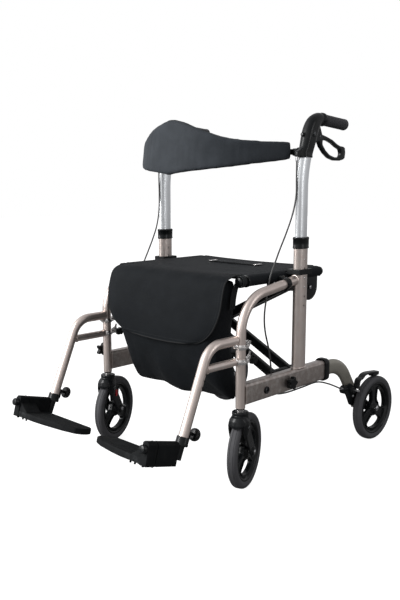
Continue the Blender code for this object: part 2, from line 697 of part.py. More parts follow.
def caster_fork():
    """Drawn about the swivel axis with the wheel trailing to -Y."""
    height = CROWN_TOP_Z - CROWN_BOTTOM_Z
    crown = revolve([(0, CROWN_TOP_Z), (SPACER_RADIUS + 0.003, CROWN_TOP_Z),
                     (CROWN_RADIUS * 0.78, CROWN_TOP_Z - height * 0.22),
                     (CROWN_RADIUS, CROWN_TOP_Z - height * 0.6), (CROWN_RADIUS, CROWN_BOTTOM_Z),
                     (0, CROWN_BOTTOM_Z)], 16)
    spots = [(0.0, CROWN_BOTTOM_Z + 0.002, 0.016), (0.006, CROWN_BOTTOM_Z - 0.022, 0.014),
             (-CASTER_TRAIL, WHEEL_RADIUS, 0.015)]
    outline = hull([(y + r * math.cos(a), z + r * math.sin(a)) for y, z, r in spots
                    for a in (k * math.pi / 4 for k in range(8))])
    inner = WHEEL_WIDTH / 2 + FORK_GAP
    legs = [slab(outline, start, FORK_THICKNESS) for start in (inner, -inner - FORK_THICKNESS)]
    arch = rod((-inner, -CASTER_TRAIL, WHEEL_RADIUS), (inner, -CASTER_TRAIL, WHEEL_RADIUS),
               WHEEL_RADIUS + FORK_GAP, 2 * TUBE_SEGMENTS)
    crown = cut(crown, arch)
    reach = inner + FORK_THICKNESS + 0.004
    axle = rod((-reach, -CASTER_TRAIL, WHEEL_RADIUS), (reach, -CASTER_TRAIL, WHEEL_RADIUS), AXLE_RADIUS)
    return fuse(crown, *legs, axle)


def caster_stem():
    """Bolt with its chrome spacer, from the crown up into the front tube."""
    spacer_top = FRONT_TUBE_FOOT_Z - SEAT_GAP
    base = CROWN_TOP_Z - 0.002
    return revolve([(0, base), (SPACER_RADIUS, base), (SPACER_RADIUS, spacer_top), (STEM_RADIUS, spacer_top),
                    (STEM_RADIUS, spacer_top + 0.030), (0, spacer_top + 0.030)], TUBE_SEGMENTS)


def brake_arm():
    """Bar that hooks over the tyre from the pivot, with the shoe at its end."""
    y, z = BRAKE_PIVOT
    shoe_y = REAR_WHEEL_Y + 0.002
    top = 2 * WHEEL_RADIUS + SHOE_CLEARANCE + 0.009
    path = [(REAR_WHEEL_X, y + 0.002, z + 0.006), (REAR_WHEEL_X, y + 0.008, z + 0.030),
            (REAR_WHEEL_X, y + 0.032, top + 0.002), (REAR_WHEEL_X, y + 0.060, top + 0.006),
            (REAR_WHEEL_X, shoe_y + 0.012, top)]
    bar = sweep(path, rounded_box(0.020, BRAKE_BAR, 0.002, 2))
    under = 2 * WHEEL_RADIUS + SHOE_CLEARANCE
    shoe = slab([(shoe_y - 0.020, under), (shoe_y + 0.014, under), (shoe_y + 0.014, top),
                 (shoe_y - 0.020, top)], REAR_WHEEL_X - 0.009, 0.018)
    eye_start = bracket_x() + BRACKET_THICKNESS + RUNNING_GAP
    eye = rod((eye_start, y, z), (REAR_WHEEL_X + 0.010, y, z), 0.009)
    hole = rod((eye_start - 0.01, y, z), (REAR_WHEEL_X + 0.03, y, z), 0.003 + RUNNING_GAP)
    return cut(fuse(bar, shoe, eye), hole)


# Handles

def handle_tube_path(top=TUBE_TOP_Z, foot=TUBE_FOOT_Z):
    path = [Vector((SIDE_X, POST_Y, foot))] if foot < TUBE_BEND_Z else []
    path += arc_yz(SIDE_X, POST_Y + TUBE_BEND_RADIUS, TUBE_BEND_Z, TUBE_BEND_RADIUS, 180, 180 - TUBE_LEAN, 4)
    lean = math.radians(TUBE_LEAN)
    rest = (top - path[-1].z) / math.cos(lean)
    path.append(path[-1] + Vector((0, math.sin(lean), math.cos(lean))) * rest)
    return path


def handle_tube():
    return sweep(handle_tube_path(), stadium(TUBE_DEPTH, TUBE_WIDTH),
                 stadium(TUBE_DEPTH - 2 * TUBE_WALL, TUBE_WIDTH - 2 * TUBE_WALL))


def grip_direction():
    droop = math.radians(GRIP_DROOP)
    return Vector((0, math.cos(droop), -math.sin(droop)))


def handle_housing():
    """Black elbow: an oval that swells from the tube, turns back and ends in the grip's core."""
    foot = handle_tube_path()[3]
    grip_start = Vector((SIDE_X, GRIP_START_Y, GRIP_Z))
    stations = [((foot.y, HOUSING_FOOT_Z), TUBE_DEPTH + 0.004, HOUSING_WIDTH), ((0.012, 0.886), 0.046, HOUSING_WIDTH),
                ((0.020, 0.910), 0.049, 0.033), ((0.028, 0.932), 0.049, 0.034),
                ((0.040, 0.952), 0.044, 0.034), ((0.058, 0.964), 0.036, 0.032),
                ((grip_start.y - 0.004, grip_start.z), 0.031, 0.030)]
    shape = bmesh.new()
    rows = []
    places = [Vector((SIDE_X, y, z)) for (y, z), _, _ in stations]
    for i, (_, depth, width) in enumerate(stations):
        ahead = places[min(i + 1, len(places) - 1)] - places[max(i - 1, 0)]
        tangent = Z_AXIS if i == 0 else grip_direction() if i == len(places) - 1 else ahead.normalized()
        upward = tangent.cross(X_AXIS)
        rows.append([shape.verts.new(places[i] + X_AXIS * u + upward * v) for u, v in stadium(depth, width)])
    for a, b in zip(rows, rows[1:]):
        for k in range(TUBE_SEGMENTS):
            n = (k + 1) % TUBE_SEGMENTS
            shape.faces.new((a[k], a[n], b[n], b[k]))
    shape.faces.new(rows[0])
    shape.faces.new(rows[-1])
    bmesh.ops.recalc_face_normals(shape, faces=shape.faces)
    core_end = grip_start + grip_direction() * (GRIP_LENGTH - 0.010)
    core = rod(grip_start - grip_direction() * 0.020, core_end, GRIP_CORE_RADIUS)
    bore = sweep(handle_tube_path(TUBE_TOP_Z + SEAT_GAP),
                 stadium(TUBE_DEPTH + 2 * SEAT_GAP, TUBE_WIDTH + 2 * SEAT_GAP))
    y, z = LEVER_PIVOT
    slot_half = LEVER_WIDTH / 2 + RUNNING_GAP
    slot = slab([(y - 0.012, z - 0.013), (y + 0.05, z - 0.013), (y + 0.05, z + 0.013), (y - 0.012, z + 0.013)],
                SIDE_X - slot_half, 2 * slot_half)
    ears = fuse(*[slab(hull([(y + 0.012 * math.cos(a), z + 0.010 * math.sin(a)) for a in
                             (k * math.pi / 4 for k in range(8))] + [(0.030, 0.900), (0.030, 0.940), (y, 0.945)]),
                       start, 0.0035) for start in (SIDE_X + slot_half, SIDE_X - slot_half - 0.0035)])
    socket = rod((SIDE_X - HOUSING_WIDTH / 4, *BACKREST_PIVOT), (SOCKET_X, *BACKREST_PIVOT), SOCKET_RADIUS)
    low = HOUSING_FOOT_Z + 0.001
    chin = slab([(CABLE_START.y - 0.006, low), (foot.y, low), (foot.y, low + 0.030),
                 (CABLE_START.y - 0.004, low + 0.012)], SIDE_X - 0.006, 0.012)
    return cut(fuse(shape, core, ears, socket, chin), bore, slot)


def lever_pin():
    y, z = LEVER_PIVOT
    half = LEVER_WIDTH / 2 + 0.0045
    return rod((SIDE_X - half, y, z), (SIDE_X + half, y, z), LEVER_PIN_RADIUS, 8)


def grip():
    """Pushed on the core: ridges for the fingers and a rounded end."""
    bore = GRIP_CORE_RADIUS + SEAT_GAP
    outside = [(GRIP_RADIUS, 0.0)]
    ridges = 5
    pitch = (GRIP_LENGTH - 0.024) / ridges
    for k in range(ridges):
        outside += [(GRIP_RADIUS - GRIP_RIDGE, (k + 0.25) * pitch + 0.006), (GRIP_RADIUS, (k + 0.75) * pitch + 0.006)]
    outside += [(GRIP_RADIUS, GRIP_LENGTH - 0.010), (GRIP_RADIUS * 0.8, GRIP_LENGTH - 0.002), (0, GRIP_LENGTH)]
    inside = [(0, GRIP_LENGTH - 0.009), (bore, GRIP_LENGTH - 0.009), (bore, 0.0)]
    profile = outside + inside
    shape = revolve_open(profile)
    bmesh.ops.rotate(shape, verts=shape.verts, matrix=Matrix.Rotation(-math.pi / 2 - math.radians(GRIP_DROOP), 3, "X"))
    bmesh.ops.translate(shape, verts=shape.verts, vec=(SIDE_X, GRIP_START_Y, GRIP_Z))
    return shape


def revolve_open(profile):
    """A cup: the profile runs out, round the closed end at the axis and back inside."""
    shape = bmesh.new()
    rings = []
    for r, h in profile:
        if r == 0:
            rings.append([shape.verts.new((0, 0, h))])
        else:
            rings.append([shape.verts.new((r * math.cos(a), r * math.sin(a), h))
                          for a in (2 * math.pi * (k + 0.5) / TUBE_SEGMENTS for k in range(TUBE_SEGMENTS))])
    pairs = [(a, b) for a, b in zip(rings, rings[1:]) if len(a) > 1 or len(b) > 1]
    for a, b in pairs + [(rings[-1], rings[0])]:
        for k in range(TUBE_SEGMENTS):
            n = (k + 1) % TUBE_SEGMENTS
            corners = [a[k % len(a)], a[n % len(a)], b[n % len(b)], b[k % len(b)]]
            unique = [v for i, v in enumerate(corners) if v not in corners[:i]]
            if len(unique) > 2:
                shape.faces.new(unique)
    bmesh.ops.recalc_face_normals(shape, faces=shape.faces)
    return shape


def brake_lever():
    """Closed loop with a finger hole, hung in the slot of the housing."""
    y, z = LEVER_PIVOT
    boss = [(y + LEVER_BOSS_RADIUS * math.cos(a), z + LEVER_BOSS_RADIUS * math.sin(a))
            for a in (math.radians(d) for d in (270, 225, 180, 135, 90))]
    outline = [(0.102, 0.920), (0.128, 0.913), (0.150, 0.903), (0.166, 0.898), (0.190, 0.896),
               (0.193, 0.880), (0.190, 0.862), (0.166, 0.857), (0.139, 0.857), (0.112, 0.863),
               (0.090, 0.875), (0.070, 0.892)]
    hole = [(0.086, 0.908), (0.120, 0.900), (0.142, 0.891), (0.160, 0.884), (0.164, 0.876),
            (0.160, 0.869), (0.139, 0.868), (0.116, 0.874), (0.096, 0.886)]
    pin = [(y + (LEVER_PIN_RADIUS + RUNNING_GAP) * math.cos(a), z + (LEVER_PIN_RADIUS + RUNNING_GAP) * math.sin(a))
           for a in (k * math.pi / 4 for k in range(8))]
    return slab(boss + outline, SIDE_X - LEVER_WIDTH / 2, LEVER_WIDTH, holes=(hole, pin))


# Middle of the object

def brace(hand, spreads):
    """A pair of bars between a lower and an upper sleeve, drawn from the left beam or mirrored."""
    low = Vector((PIVOT_X, 0, LOWER_PIVOT_Z))
    high = Vector((-PIVOT_X, 0, UPPER_PIVOT_Z))
    along = (high - low).normalized()
    across = along.cross(Y_AXIS)
    length = (high - low).length
    half_y = SLEEVE_LENGTH / 2
    radius = BRACE_BAR_DEPTH / 2
    shape = None
    for spread in spreads:
        outline = [(radius * math.cos(a), radius * math.sin(a)) for a in
                   (math.pi / 2 + math.pi * k / 6 for k in range(7))]
        outline += [(length - u, -v) for u, v in outline]
        bar = slab(outline, BRACE_CENTRE_Y + spread - BRACE_BAR_WIDTH / 2, BRACE_BAR_WIDTH,
                   axes=(along, across, Y_AXIS), origin=low)
        shape = bar if shape is None else fuse(shape, bar)
    for end in (low, high):
        sleeve = rod(end + Y_AXIS * (BRACE_CENTRE_Y - half_y), end + Y_AXIS * (BRACE_CENTRE_Y + half_y),
                     BRACE_SLEEVE_RADIUS)
        shape = fuse(shape, sleeve)
    for end in (low, high) if hand > 0 else (low, (low + high) / 2, high):
        shape = cut(shape, rod(end - Y_AXIS * 0.3, end + Y_AXIS * 0.3, BRACE_PIN_RADIUS + RUNNING_GAP))
    if hand < 0:
        bmesh.ops.scale(shape, verts=shape.verts, vec=(-1, 1, 1))
        bmesh.ops.reverse_faces(shape, faces=shape.faces)
    return shape


def brace_pin():
    """Centre pin of the crossed braces, with a head at each end."""
    z = (LOWER_PIVOT_Z + UPPER_PIVOT_Z) / 2
    reach = BRACE_A_SPREAD + BRACE_BAR_WIDTH / 2
    pin = rod((0, BRACE_CENTRE_Y - reach - 0.003, z), (0, BRACE_CENTRE_Y + reach + 0.003, z), BRACE_PIN_RADIUS)
    heads = [rod((0, BRACE_CENTRE_Y + hand * (reach - 0.001), z),
                 (0, BRACE_CENTRE_Y + hand * (reach + 0.005), z), 0.008) for hand in (-1, 1)]
    return fuse(pin, *heads)


def seat_level(x):
    """Height of the seat's underside, which sags a little between the rails."""
    return RAIL_Z + RAIL_RADIUS + 2 * SEAT_GAP - 0.004 * (1 - (x / PIVOT_X) ** 2)


def seat():
    """Fabric stretched over both rails, with a slight sag and hems round them."""
    steps = 12
    over = RAIL_RADIUS + 2 * SEAT_GAP
    top = []
    bottom = []
    for k in range(steps + 1):
        x = -PIVOT_X + 2 * PIVOT_X * k / steps
        bottom.append((x, seat_level(x)))
        top.append((x, seat_level(x) + SEAT_THICKNESS))
    hem = 0.0016

    def wrap(hand, radius):
        return [(hand * (PIVOT_X + radius * math.sin(a)), RAIL_Z + radius * math.cos(a))
                for a in (math.radians(d) for d in (30, 60, 90))]

    outline = bottom + wrap(1, over) + wrap(1, over + hem)[::-1] + top[::-1]
    outline += wrap(-1, over + hem) + wrap(-1, over)[::-1]
    cloth = slab(outline, RAIL_FRONT_Y, RAIL_REAR_Y - RAIL_FRONT_Y, axes=(X_AXIS, Z_AXIS, Y_AXIS))
    front, rear = saddle_ends()
    notches = []
    for hand in (1, -1):
        near, far = hand * (PIVOT_X + RAIL_RADIUS / 2), hand * (PIVOT_X + 3 * RAIL_RADIUS)
        notches.append(slab([(near, front - 0.002), (far, front - 0.002), (far, rear + 0.002), (near, rear + 0.002)],
                            RAIL_Z - 0.05, 0.1, axes=(X_AXIS, Y_AXIS, Z_AXIS)))
    return cut(cloth, *notches)


def pull_strap():
    """Webbing loop across the middle of the seat: it lifts to fold the frame."""
    base = seat_level(STRAP_LENGTH / 2) + SEAT_THICKNESS + 2 * SEAT_GAP
    steps = 8
    path = []
    for k in range(steps + 1):
        x = -STRAP_LENGTH / 2 + STRAP_LENGTH * k / steps
        path.append((x, STRAP_Y, base + 0.001 + 0.0025 * (1 - (2 * x / STRAP_LENGTH) ** 2)))
    return sweep(path, rounded_box(STRAP_WIDTH, 0.002, 0.0008, 2), side=Y_AXIS)


def backrest():
    """Padded band on an arc to the front, tall in its middle and narrow at the ends."""
    steps = 18
    end_angle = math.radians(BACKREST_END_ANGLE)
    shape = bmesh.new()
    rows = []
    for i in range(steps + 1):
        angle = end_angle + (math.pi - 2 * end_angle) * i / steps
        away = abs(math.degrees(angle) - 90)
        high = 0.904 + 0.00015 * (82 - away) + 0.048 * math.exp(-(away / 27) ** 2)
        low = 0.810 + 0.0005 * away
        outward = Vector((math.cos(angle), -math.sin(angle), 0))
        centre = outward * BACKREST_RADIUS + Vector((0, BACKREST_PIVOT[0], (high + low) / 2))
        ring = rounded_box(BACKREST_THICKNESS, high - low, 0.010)
        rows.append([shape.verts.new(centre + outward * (u - BACKREST_THICKNESS / 2) + Z_AXIS * v) for u, v in ring])
    for a, b in zip(rows, rows[1:]):
        for k in range(len(a)):
            n = (k + 1) % len(a)
            shape.faces.new((a[k], a[n], b[n], b[k]))
    shape.faces.new(rows[0])
    shape.faces.new(rows[-1])
    bmesh.ops.recalc_face_normals(shape, faces=shape.faces)
    y, z = BACKREST_PIVOT
    inner = BACKREST_RADIUS - BACKREST_THICKNESS / 2
    for hand in (-1, 1):
        plug = rod((hand * inner, y, z), (hand * (SOCKET_X - SEAT_GAP), y, z), SOCKET_RADIUS)
        shape = fuse(shape, plug)
    return shape


def bag():
    """Pouch in front of and under the seat, its flap over the front."""
    back = RAIL_FRONT_Y - SEAT_GAP
    top = RAIL_Z + RAIL_RADIUS
    profile = [(back, top - 0.012), (back, top + 0.004), (-0.220, top + 0.004), (-0.255, top - 0.003),
               (-0.268, top - 0.016), (-0.284, 0.470), (-0.290, 0.395), (-0.284, 0.352), (-0.262, 0.346), (-0.248, 0.300), (-0.222, 0.243), (-0.205, 0.225),
               (-0.176, 0.216), (-0.165, 0.232), (-0.160, 0.330), (-0.168, 0.440), (-0.180, 0.505)]
    return slab(profile, -BAG_HALF_WIDTH, 2 * BAG_HALF_WIDTH)


# Footrest

def hanger_direction():
    """Unit vector down the sloping run of the hanger."""
    slope = math.radians(HANGER_SLOPE)
    return Vector((0, -math.sin(slope), -math.cos(slope)))


def hanger_end():
    return Vector((HANGER_X, HANGER_END_Y, HANGER_END_Z))


def clamp_outer():
    return FRONT_TUBE_RADIUS + RUNNING_GAP + CLAMP_WALL


def hanger_path():
    down = hanger_direction()
    corner_y = HANGER_END_Y + (HANGER_TOP_Z - HANGER_END_Z) * math.tan(math.radians(HANGER_SLOPE))
    turn = 90 - HANGER_SLOPE
    tangent = HANGER_BEND_RADIUS * math.tan(math.radians(turn / 2))
    start = Vector((HANGER_X, FRONT_TUBE_Y - 0.004, HANGER_TOP_Z))
    bend_y = corner_y + tangent
    path = [start]
    path += arc_yz(HANGER_X, bend_y, HANGER_TOP_Z - HANGER_BEND_RADIUS, HANGER_BEND_RADIUS, 90, 90 + turn, 5)
    path.append(hanger_end())
    return path, down


def hanger():
    """Bent tube with a brace, both ending at the front tube."""
    path, down = hanger_path()
    outer = sweep(path, circle(HANGER_RADIUS))
    brace_y = HANGER_END_Y + (HANGER_BRACE_Z - HANGER_END_Z) * math.tan(math.radians(HANGER_SLOPE))
    arm = rod((HANGER_X, brace_y, HANGER_BRACE_Z), (HANGER_X, FRONT_TUBE_Y - 0.004, HANGER_BRACE_Z),
              HANGER_BRACE_RADIUS)
    inner_path = [path[0] - Y_AXIS * -0.02] + path[1:-1] + [path[-1] + down * 0.01]
    inner = sweep(inner_path, circle(HANGER_RADIUS - HANGER_WALL))
    whole = cut(fuse(outer, arm), inner)
    tube = rod((SIDE_X, FRONT_TUBE_Y, 0.30), (SIDE_X, FRONT_TUBE_Y, 0.45), FRONT_TUBE_RADIUS + 2 * SEAT_GAP, 24)
    rings = [rod((SIDE_X, FRONT_TUBE_Y, z - CLAMP_HEIGHT / 2 - SEAT_GAP),
                 (SIDE_X, FRONT_TUBE_Y, z + CLAMP_HEIGHT / 2 + SEAT_GAP), clamp_outer() + SEAT_GAP, 24)
             for z in (HANGER_BRACE_Z, UPPER_CLAMP_Z)]
    return cut(whole, tube, *rings)


def hanger_clamp(z):
    """Ring round the front tube, with an ear for its screw."""
    ring = rod((SIDE_X, FRONT_TUBE_Y, z - CLAMP_HEIGHT / 2), (SIDE_X, FRONT_TUBE_Y, z + CLAMP_HEIGHT / 2),
               clamp_outer(), 16)
    start = FRONT_TUBE_Y + clamp_outer() - 0.002
    ear = slab([(SIDE_X - 0.004, z - 0.006), (SIDE_X + 0.004, z - 0.006), (SIDE_X + 0.004, z + 0.006),
                (SIDE_X - 0.004, z + 0.006)], start, 0.014, axes=(X_AXIS, Z_AXIS, Y_AXIS))
    bore = rod((SIDE_X, FRONT_TUBE_Y, z - CLAMP_HEIGHT), (SIDE_X, FRONT_TUBE_Y, z + CLAMP_HEIGHT),
               FRONT_TUBE_RADIUS + RUNNING_GAP, 16)
    return cut(fuse(ring, ear), bore)


def hanger_sleeve():
    """Black end sleeve of the hanger with the hand knob that locks the foot tube."""
    down = hanger_direction()
    end = hanger_end()
    outer = HANGER_RADIUS + SEAT_GAP + SLEEVE_WALL
    body = rod(end - down * SLEEVE_ABOVE, end + down * SLEEVE_BELOW, outer)
    socket = rod(end - down * 0.040, end + down * SEAT_GAP, HANGER_RADIUS + SEAT_GAP)
    bore = rod(end - down * 0.040, end + down * 0.040, FOOT_TUBE_RADIUS + RUNNING_GAP)
    rearward = Vector((0, -down.z, down.y))
    tab_out = rearward * (HANGER_RADIUS + SEAT_GAP + SLEEVE_TAB_RADIUS)
    tab = rod(end - down * (SLEEVE_KNOB_RISE + 0.005) + tab_out, end - down * 0.001 + tab_out, SLEEVE_TAB_RADIUS, 12)
    stem_start = end - down * SLEEVE_KNOB_RISE + rearward * (outer - 0.001)
    stem = rod(stem_start, stem_start + rearward * 0.016, 0.004, 8)
    knob = rod(stem_start + rearward * 0.015, stem_start + rearward * 0.029, 0.013)
    return fuse(cut(body, socket, bore), tab, stem, knob)


def rod_frame():
    """Origin and axes of the footplate: forward along the rod, inboard and up."""
    tilt = math.radians(PLATE_TILT)
    origin = hanger_end() + hanger_direction() * FOOT_TUBE_OUTSIDE
    return origin, Vector((0, -math.cos(tilt), math.sin(tilt))), -X_AXIS, Vector((0, math.sin(tilt), math.cos(tilt)))


def foot_tube():
    """Inner tube of the footrest, its hinge rod and the rod's round end cap."""
    origin, forward, _, _ = rod_frame()
    down = hanger_direction()
    tube = rod(origin - down * FOOT_TUBE_INSIDE, origin + down * FOOT_TUBE_TAIL, FOOT_TUBE_RADIUS)
    hinge = rod(origin, origin + forward * ROD_LENGTH, ROD_RADIUS)
    cap_start = origin + forward * (BLOCK_START + BLOCK_LENGTH + RUNNING_GAP)
    cap = rod(cap_start, cap_start + forward * 0.010, CAP_RADIUS)
    return fuse(tube, hinge, cap)


def footplate():
    """Hinge block and plate in one moulding."""
    origin, forward, inboard, up = rod_frame()
    axes = (inboard, up, forward)
    half = BLOCK_THICKNESS / 2
    block = slab([(-half, BLOCK_BOTTOM), (half, BLOCK_BOTTOM), (half, BLOCK_TOP - 0.004), (half - 0.004, BLOCK_TOP),
                  (-half + 0.006, BLOCK_TOP), (-half, BLOCK_TOP - 0.006)], BLOCK_START, BLOCK_LENGTH,
                 axes=axes, origin=origin)
    step = 0.0015
    root = half - 0.004
    rear = BLOCK_START + step
    front = BLOCK_START + BLOCK_LENGTH - step
    outline = [(root, rear), (PLATE_REACH - 0.020, rear), (PLATE_REACH - 0.006, rear + 0.008),
               (PLATE_REACH, rear + 0.024), (PLATE_REACH, PLATE_TIP_FRONT - 0.022),
               (PLATE_REACH - 0.010, PLATE_TIP_FRONT - 0.005), (PLATE_REACH - 0.045, PLATE_TIP_FRONT + 0.012),
               (0.120, front - 0.006), (0.080, front), (root, front)]
    plate = slab(outline, BLOCK_BOTTOM + step, PLATE_THICKNESS, axes=(inboard, forward, up), origin=origin)
    bore = rod(origin - forward * 0.05, origin + forward * 0.2, ROD_RADIUS + RUNNING_GAP)
    return cut(fuse(block, plate), bore)


# Cables

def smooth_route(points, per_span=4):
    """Points on a smooth curve through the route's own points."""
    points = [Vector(p) for p in points]
    padded = [points[0] * 2 - points[1]] + points + [points[-1] * 2 - points[-2]]
    route = []
    for i in range(1, len(padded) - 2):
        a, b, c, d = padded[i - 1:i + 3]
        for k in range(per_span):
            t = k / per_span
            route.append(0.5 * (2 * b + (c - a) * t + (2 * a - 5 * b + 4 * c - d) * t ** 2
                                + (3 * b - a - 3 * c + d) * t ** 3))
    route.append(points[-1])
    return route


def brake_cable(name, joint, hand):
    """Casing from the handle housing to the brake, as a bevelled curve."""
    data = bpy.data.curves.new(name, "CURVE")
    data.dimensions = "3D"
    data.bevel_depth = CABLE_RADIUS
    data.bevel_resolution = 1
    data.use_fill_caps = True
    spline = data.splines.new("POLY")
    route = smooth_route([CABLE_START, *CABLE_ROUTE, CABLE_END - CABLE_END_WAY * 0.014, CABLE_END], 2)
    spline.points.add(len(route) - 1)
    for point, place in zip(spline.points, route):
        place = Vector((place.x * hand, place.y, place.z)) - PLACES[joint]
        point.co = (*place, 1)
    data.materials.append(make_material(name, "rubber"))
    cable = bpy.data.objects.new(name, data)
    bpy.context.collection.objects.link(cable)
    cable.parent = EMPTIES[joint]


def beam_fasteners():
    """Small bolt head and lobed hand knob on the beam's outer face."""
    face = SIDE_X + BEAM_WIDTH / 2 - BEAM_WALL / 2
    bolt = rod((face, -0.163, BEAM_Z - 0.003), (face + 0.007, -0.163, BEAM_Z - 0.003), 0.0075)
    lobes = 6
    outline = []
    for k in range(4 * lobes):
        angle = 2 * math.pi * k / (4 * lobes)
        radius = 0.0145 if k % 4 < 2 else 0.0120
        outline.append((-0.065 + radius * math.cos(angle), BEAM_Z - 0.002 + radius * math.sin(angle)))
    return bolt, slab(outline, face, 0.017)


def star_knob():
    """Hand knob on the outside of the right front tube."""
    start = SIDE_X + FRONT_TUBE_RADIUS - FRONT_TUBE_WALL
    z = BEAM_TOP_Z + 0.006
    lobes = 5
    outline = []
    for k in range(4 * lobes):
        angle = 2 * math.pi * k / (4 * lobes)
        radius = 0.016 if k % 4 < 2 else 0.011
        outline.append((FRONT_TUBE_Y + radius * math.cos(angle), z + radius * math.sin(angle)))
    stem = rod((start, FRONT_TUBE_Y, z), (start + 0.010, FRONT_TUBE_Y, z), 0.005)
    return fuse(stem, slab(outline, start + 0.008, 0.012))


# Assembly

def build_side(side, hand):
    """Everything that a side frame carries, drawn for the left and mirrored for the right."""
    frame = f"{side}_frame"

    def at(x, y, z):
        return Vector((x * hand, y, z))

    def put(name, shape, finish, joint):
        add(f"{side}_{name}", shape, finish, joint, hand)

    put("front_tube", front_tube() if hand > 0 else fuse(front_tube(), star_knob()), "frame", frame)
    put("rear_post", rear_post(), "frame", frame)
    put("lower_beam", lower_beam(), "frame", frame)
    put("post_collar", post_collar(), "plastic", frame)
    put("leg_collar", leg_collar(), "plastic", frame)
    put("rear_leg", rear_leg(), "leg", frame)
    put("axle_bracket", axle_bracket(), "black_steel", frame)
    put("seat_saddle", seat_saddle(), "plastic", frame)
    put("beam_bracket", beam_bracket(), "black_steel", frame)
    brake_cable(f"{side}_brake_cable", frame, hand)

    make_joint(f"{side}_brake_arm_joint", frame, at(REAR_WHEEL_X, *BRAKE_PIVOT))
    put("brake_arm", brake_arm(), "black_steel", f"{side}_brake_arm_joint")

    axle = at(REAR_WHEEL_X, REAR_WHEEL_Y, WHEEL_RADIUS)
    make_joint(f"{side}_rear_spin", frame, axle)
    for name, shape, finish in (("rear_tyre", tyre((0, 0, 0)), "rubber"), ("rear_rim", rim((0, 0, 0)), "plastic")):
        add(f"{side}_{name}", shape, finish, f"{side}_rear_spin", hand, local=True)

    swivel = f"{side}_swivel"
    make_joint(swivel, frame, at(SIDE_X, FRONT_TUBE_Y, 0), math.radians(CASTER_TURN))
    add(f"{side}_caster_fork", fuse(caster_fork(), caster_stem()), "plastic", swivel, hand, local=True)
    spin = f"{side}_front_spin"
    make_joint(spin, swivel, PLACES[swivel] + Vector((0, -CASTER_TRAIL, WHEEL_RADIUS)))
    add(f"{side}_front_tyre", tyre((0, 0, 0)), "rubber", spin, hand, local=True)
    add(f"{side}_front_rim", rim((0, 0, 0)), "plastic", spin, hand, local=True)

    height = f"{side}_height"
    make_joint(height, frame, at(SIDE_X, POST_Y, POST_TOP_Z))
    put("handle_tube", handle_tube(), "silver", height)
    put("handle_housing", handle_housing(), "plastic", height)
    put("grip", grip(), "rubber", height)
    make_joint(f"{side}_lever", height, at(SIDE_X, *LEVER_PIVOT))
    put("brake_lever", brake_lever(), "plastic", f"{side}_lever")

    swing = f"{side}_swing"
    make_joint(swing, frame, at(SIDE_X, FRONT_TUBE_Y, HANGER_BRACE_Z))
    put("hanger", hanger(), "frame", swing)
    put("upper_clamp", hanger_clamp(UPPER_CLAMP_Z), "chrome", swing)
    put("lower_clamp", hanger_clamp(HANGER_BRACE_Z), "chrome", swing)
    put("hanger_sleeve", hanger_sleeve(), "plastic", swing)
    slide = f"{side}_foot_slide"
    origin = rod_frame()[0]
    make_joint(slide, swing, at(*origin))
    put("foot_tube", foot_tube(), "black_steel", slide)
    make_joint(f"{side}_flip", slide, at(*origin))
    put("footplate", footplate(), "plastic", f"{side}_flip")

    rail = f"{side}_rail"
    put("seat_rail", seat_rail(), "black_steel", rail)


def build():
    for piece in list(bpy.data.objects):
        bpy.data.objects.remove(piece)
    centre_y = BRACE_CENTRE_Y
    middle_z = (LOWER_PIVOT_Z + UPPER_PIVOT_Z) / 2
    make_joint("left_frame", None, (0, 0, 0))
    make_joint("fold", "left_frame", (PIVOT_X, centre_y, LOWER_PIVOT_Z))
    make_joint("brace_cross", "fold", (0, centre_y, middle_z))
    make_joint("right_frame", "brace_cross", (-PIVOT_X, centre_y, LOWER_PIVOT_Z))
    make_joint("right_rail", "fold", (-PIVOT_X, centre_y, UPPER_PIVOT_Z))
    make_joint("left_rail", "brace_cross", (PIVOT_X, centre_y, UPPER_PIVOT_Z))

    add("brace_a", fuse(brace(1, (-BRACE_A_SPREAD, BRACE_A_SPREAD)), brace_pin()), "black_steel", "fold")
    add("brace_b", brace(-1, (-BRACE_B_SPREAD, BRACE_B_SPREAD)), "black_steel", "brace_cross")

    for side, hand in (("left", 1), ("right", -1)):
        build_side(side, hand)

    add("seat", seat(), "fabric", "left_rail")
    add("pull_strap", pull_strap(), "fabric", "left_rail")
    add("bag", bag(), "fabric", "left_rail")
    make_joint("backrest_turn", "left_height", (SOCKET_X, *BACKREST_PIVOT))
    add("backrest", backrest(), "fabric", "backrest_turn")

    front_reach = footplate_front()
    EMPTIES["left_frame"].location = (0, -(REAR_REACH + front_reach) / 2, 0)


def footplate_front():
    """Y of the foremost point of the footrest, the top edge of the rod's end cap."""
    origin, forward, _, up = rod_frame()
    end = origin + forward * (BLOCK_START + BLOCK_LENGTH + RUNNING_GAP + 0.010)
    return (end - up * CAP_RADIUS * math.cos(math.pi / TUBE_SEGMENTS)).y


build()
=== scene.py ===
"""Side-folding rollator with footrests: its looks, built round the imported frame.

Metres throughout, +Z up, the front faces -Y and the object's left is +X. Pieces are drawn
with Y measured from the centre line of the rear posts, for the left side, and are then
mirrored and moved to the frame's own place.
"""

import math

import bmesh
import bpy
from bpy.props import FloatProperty, FloatVectorProperty, IntProperty, PointerProperty
from mathutils import Matrix, Vector, noise
from mathutils.bvhtree import BVHTree


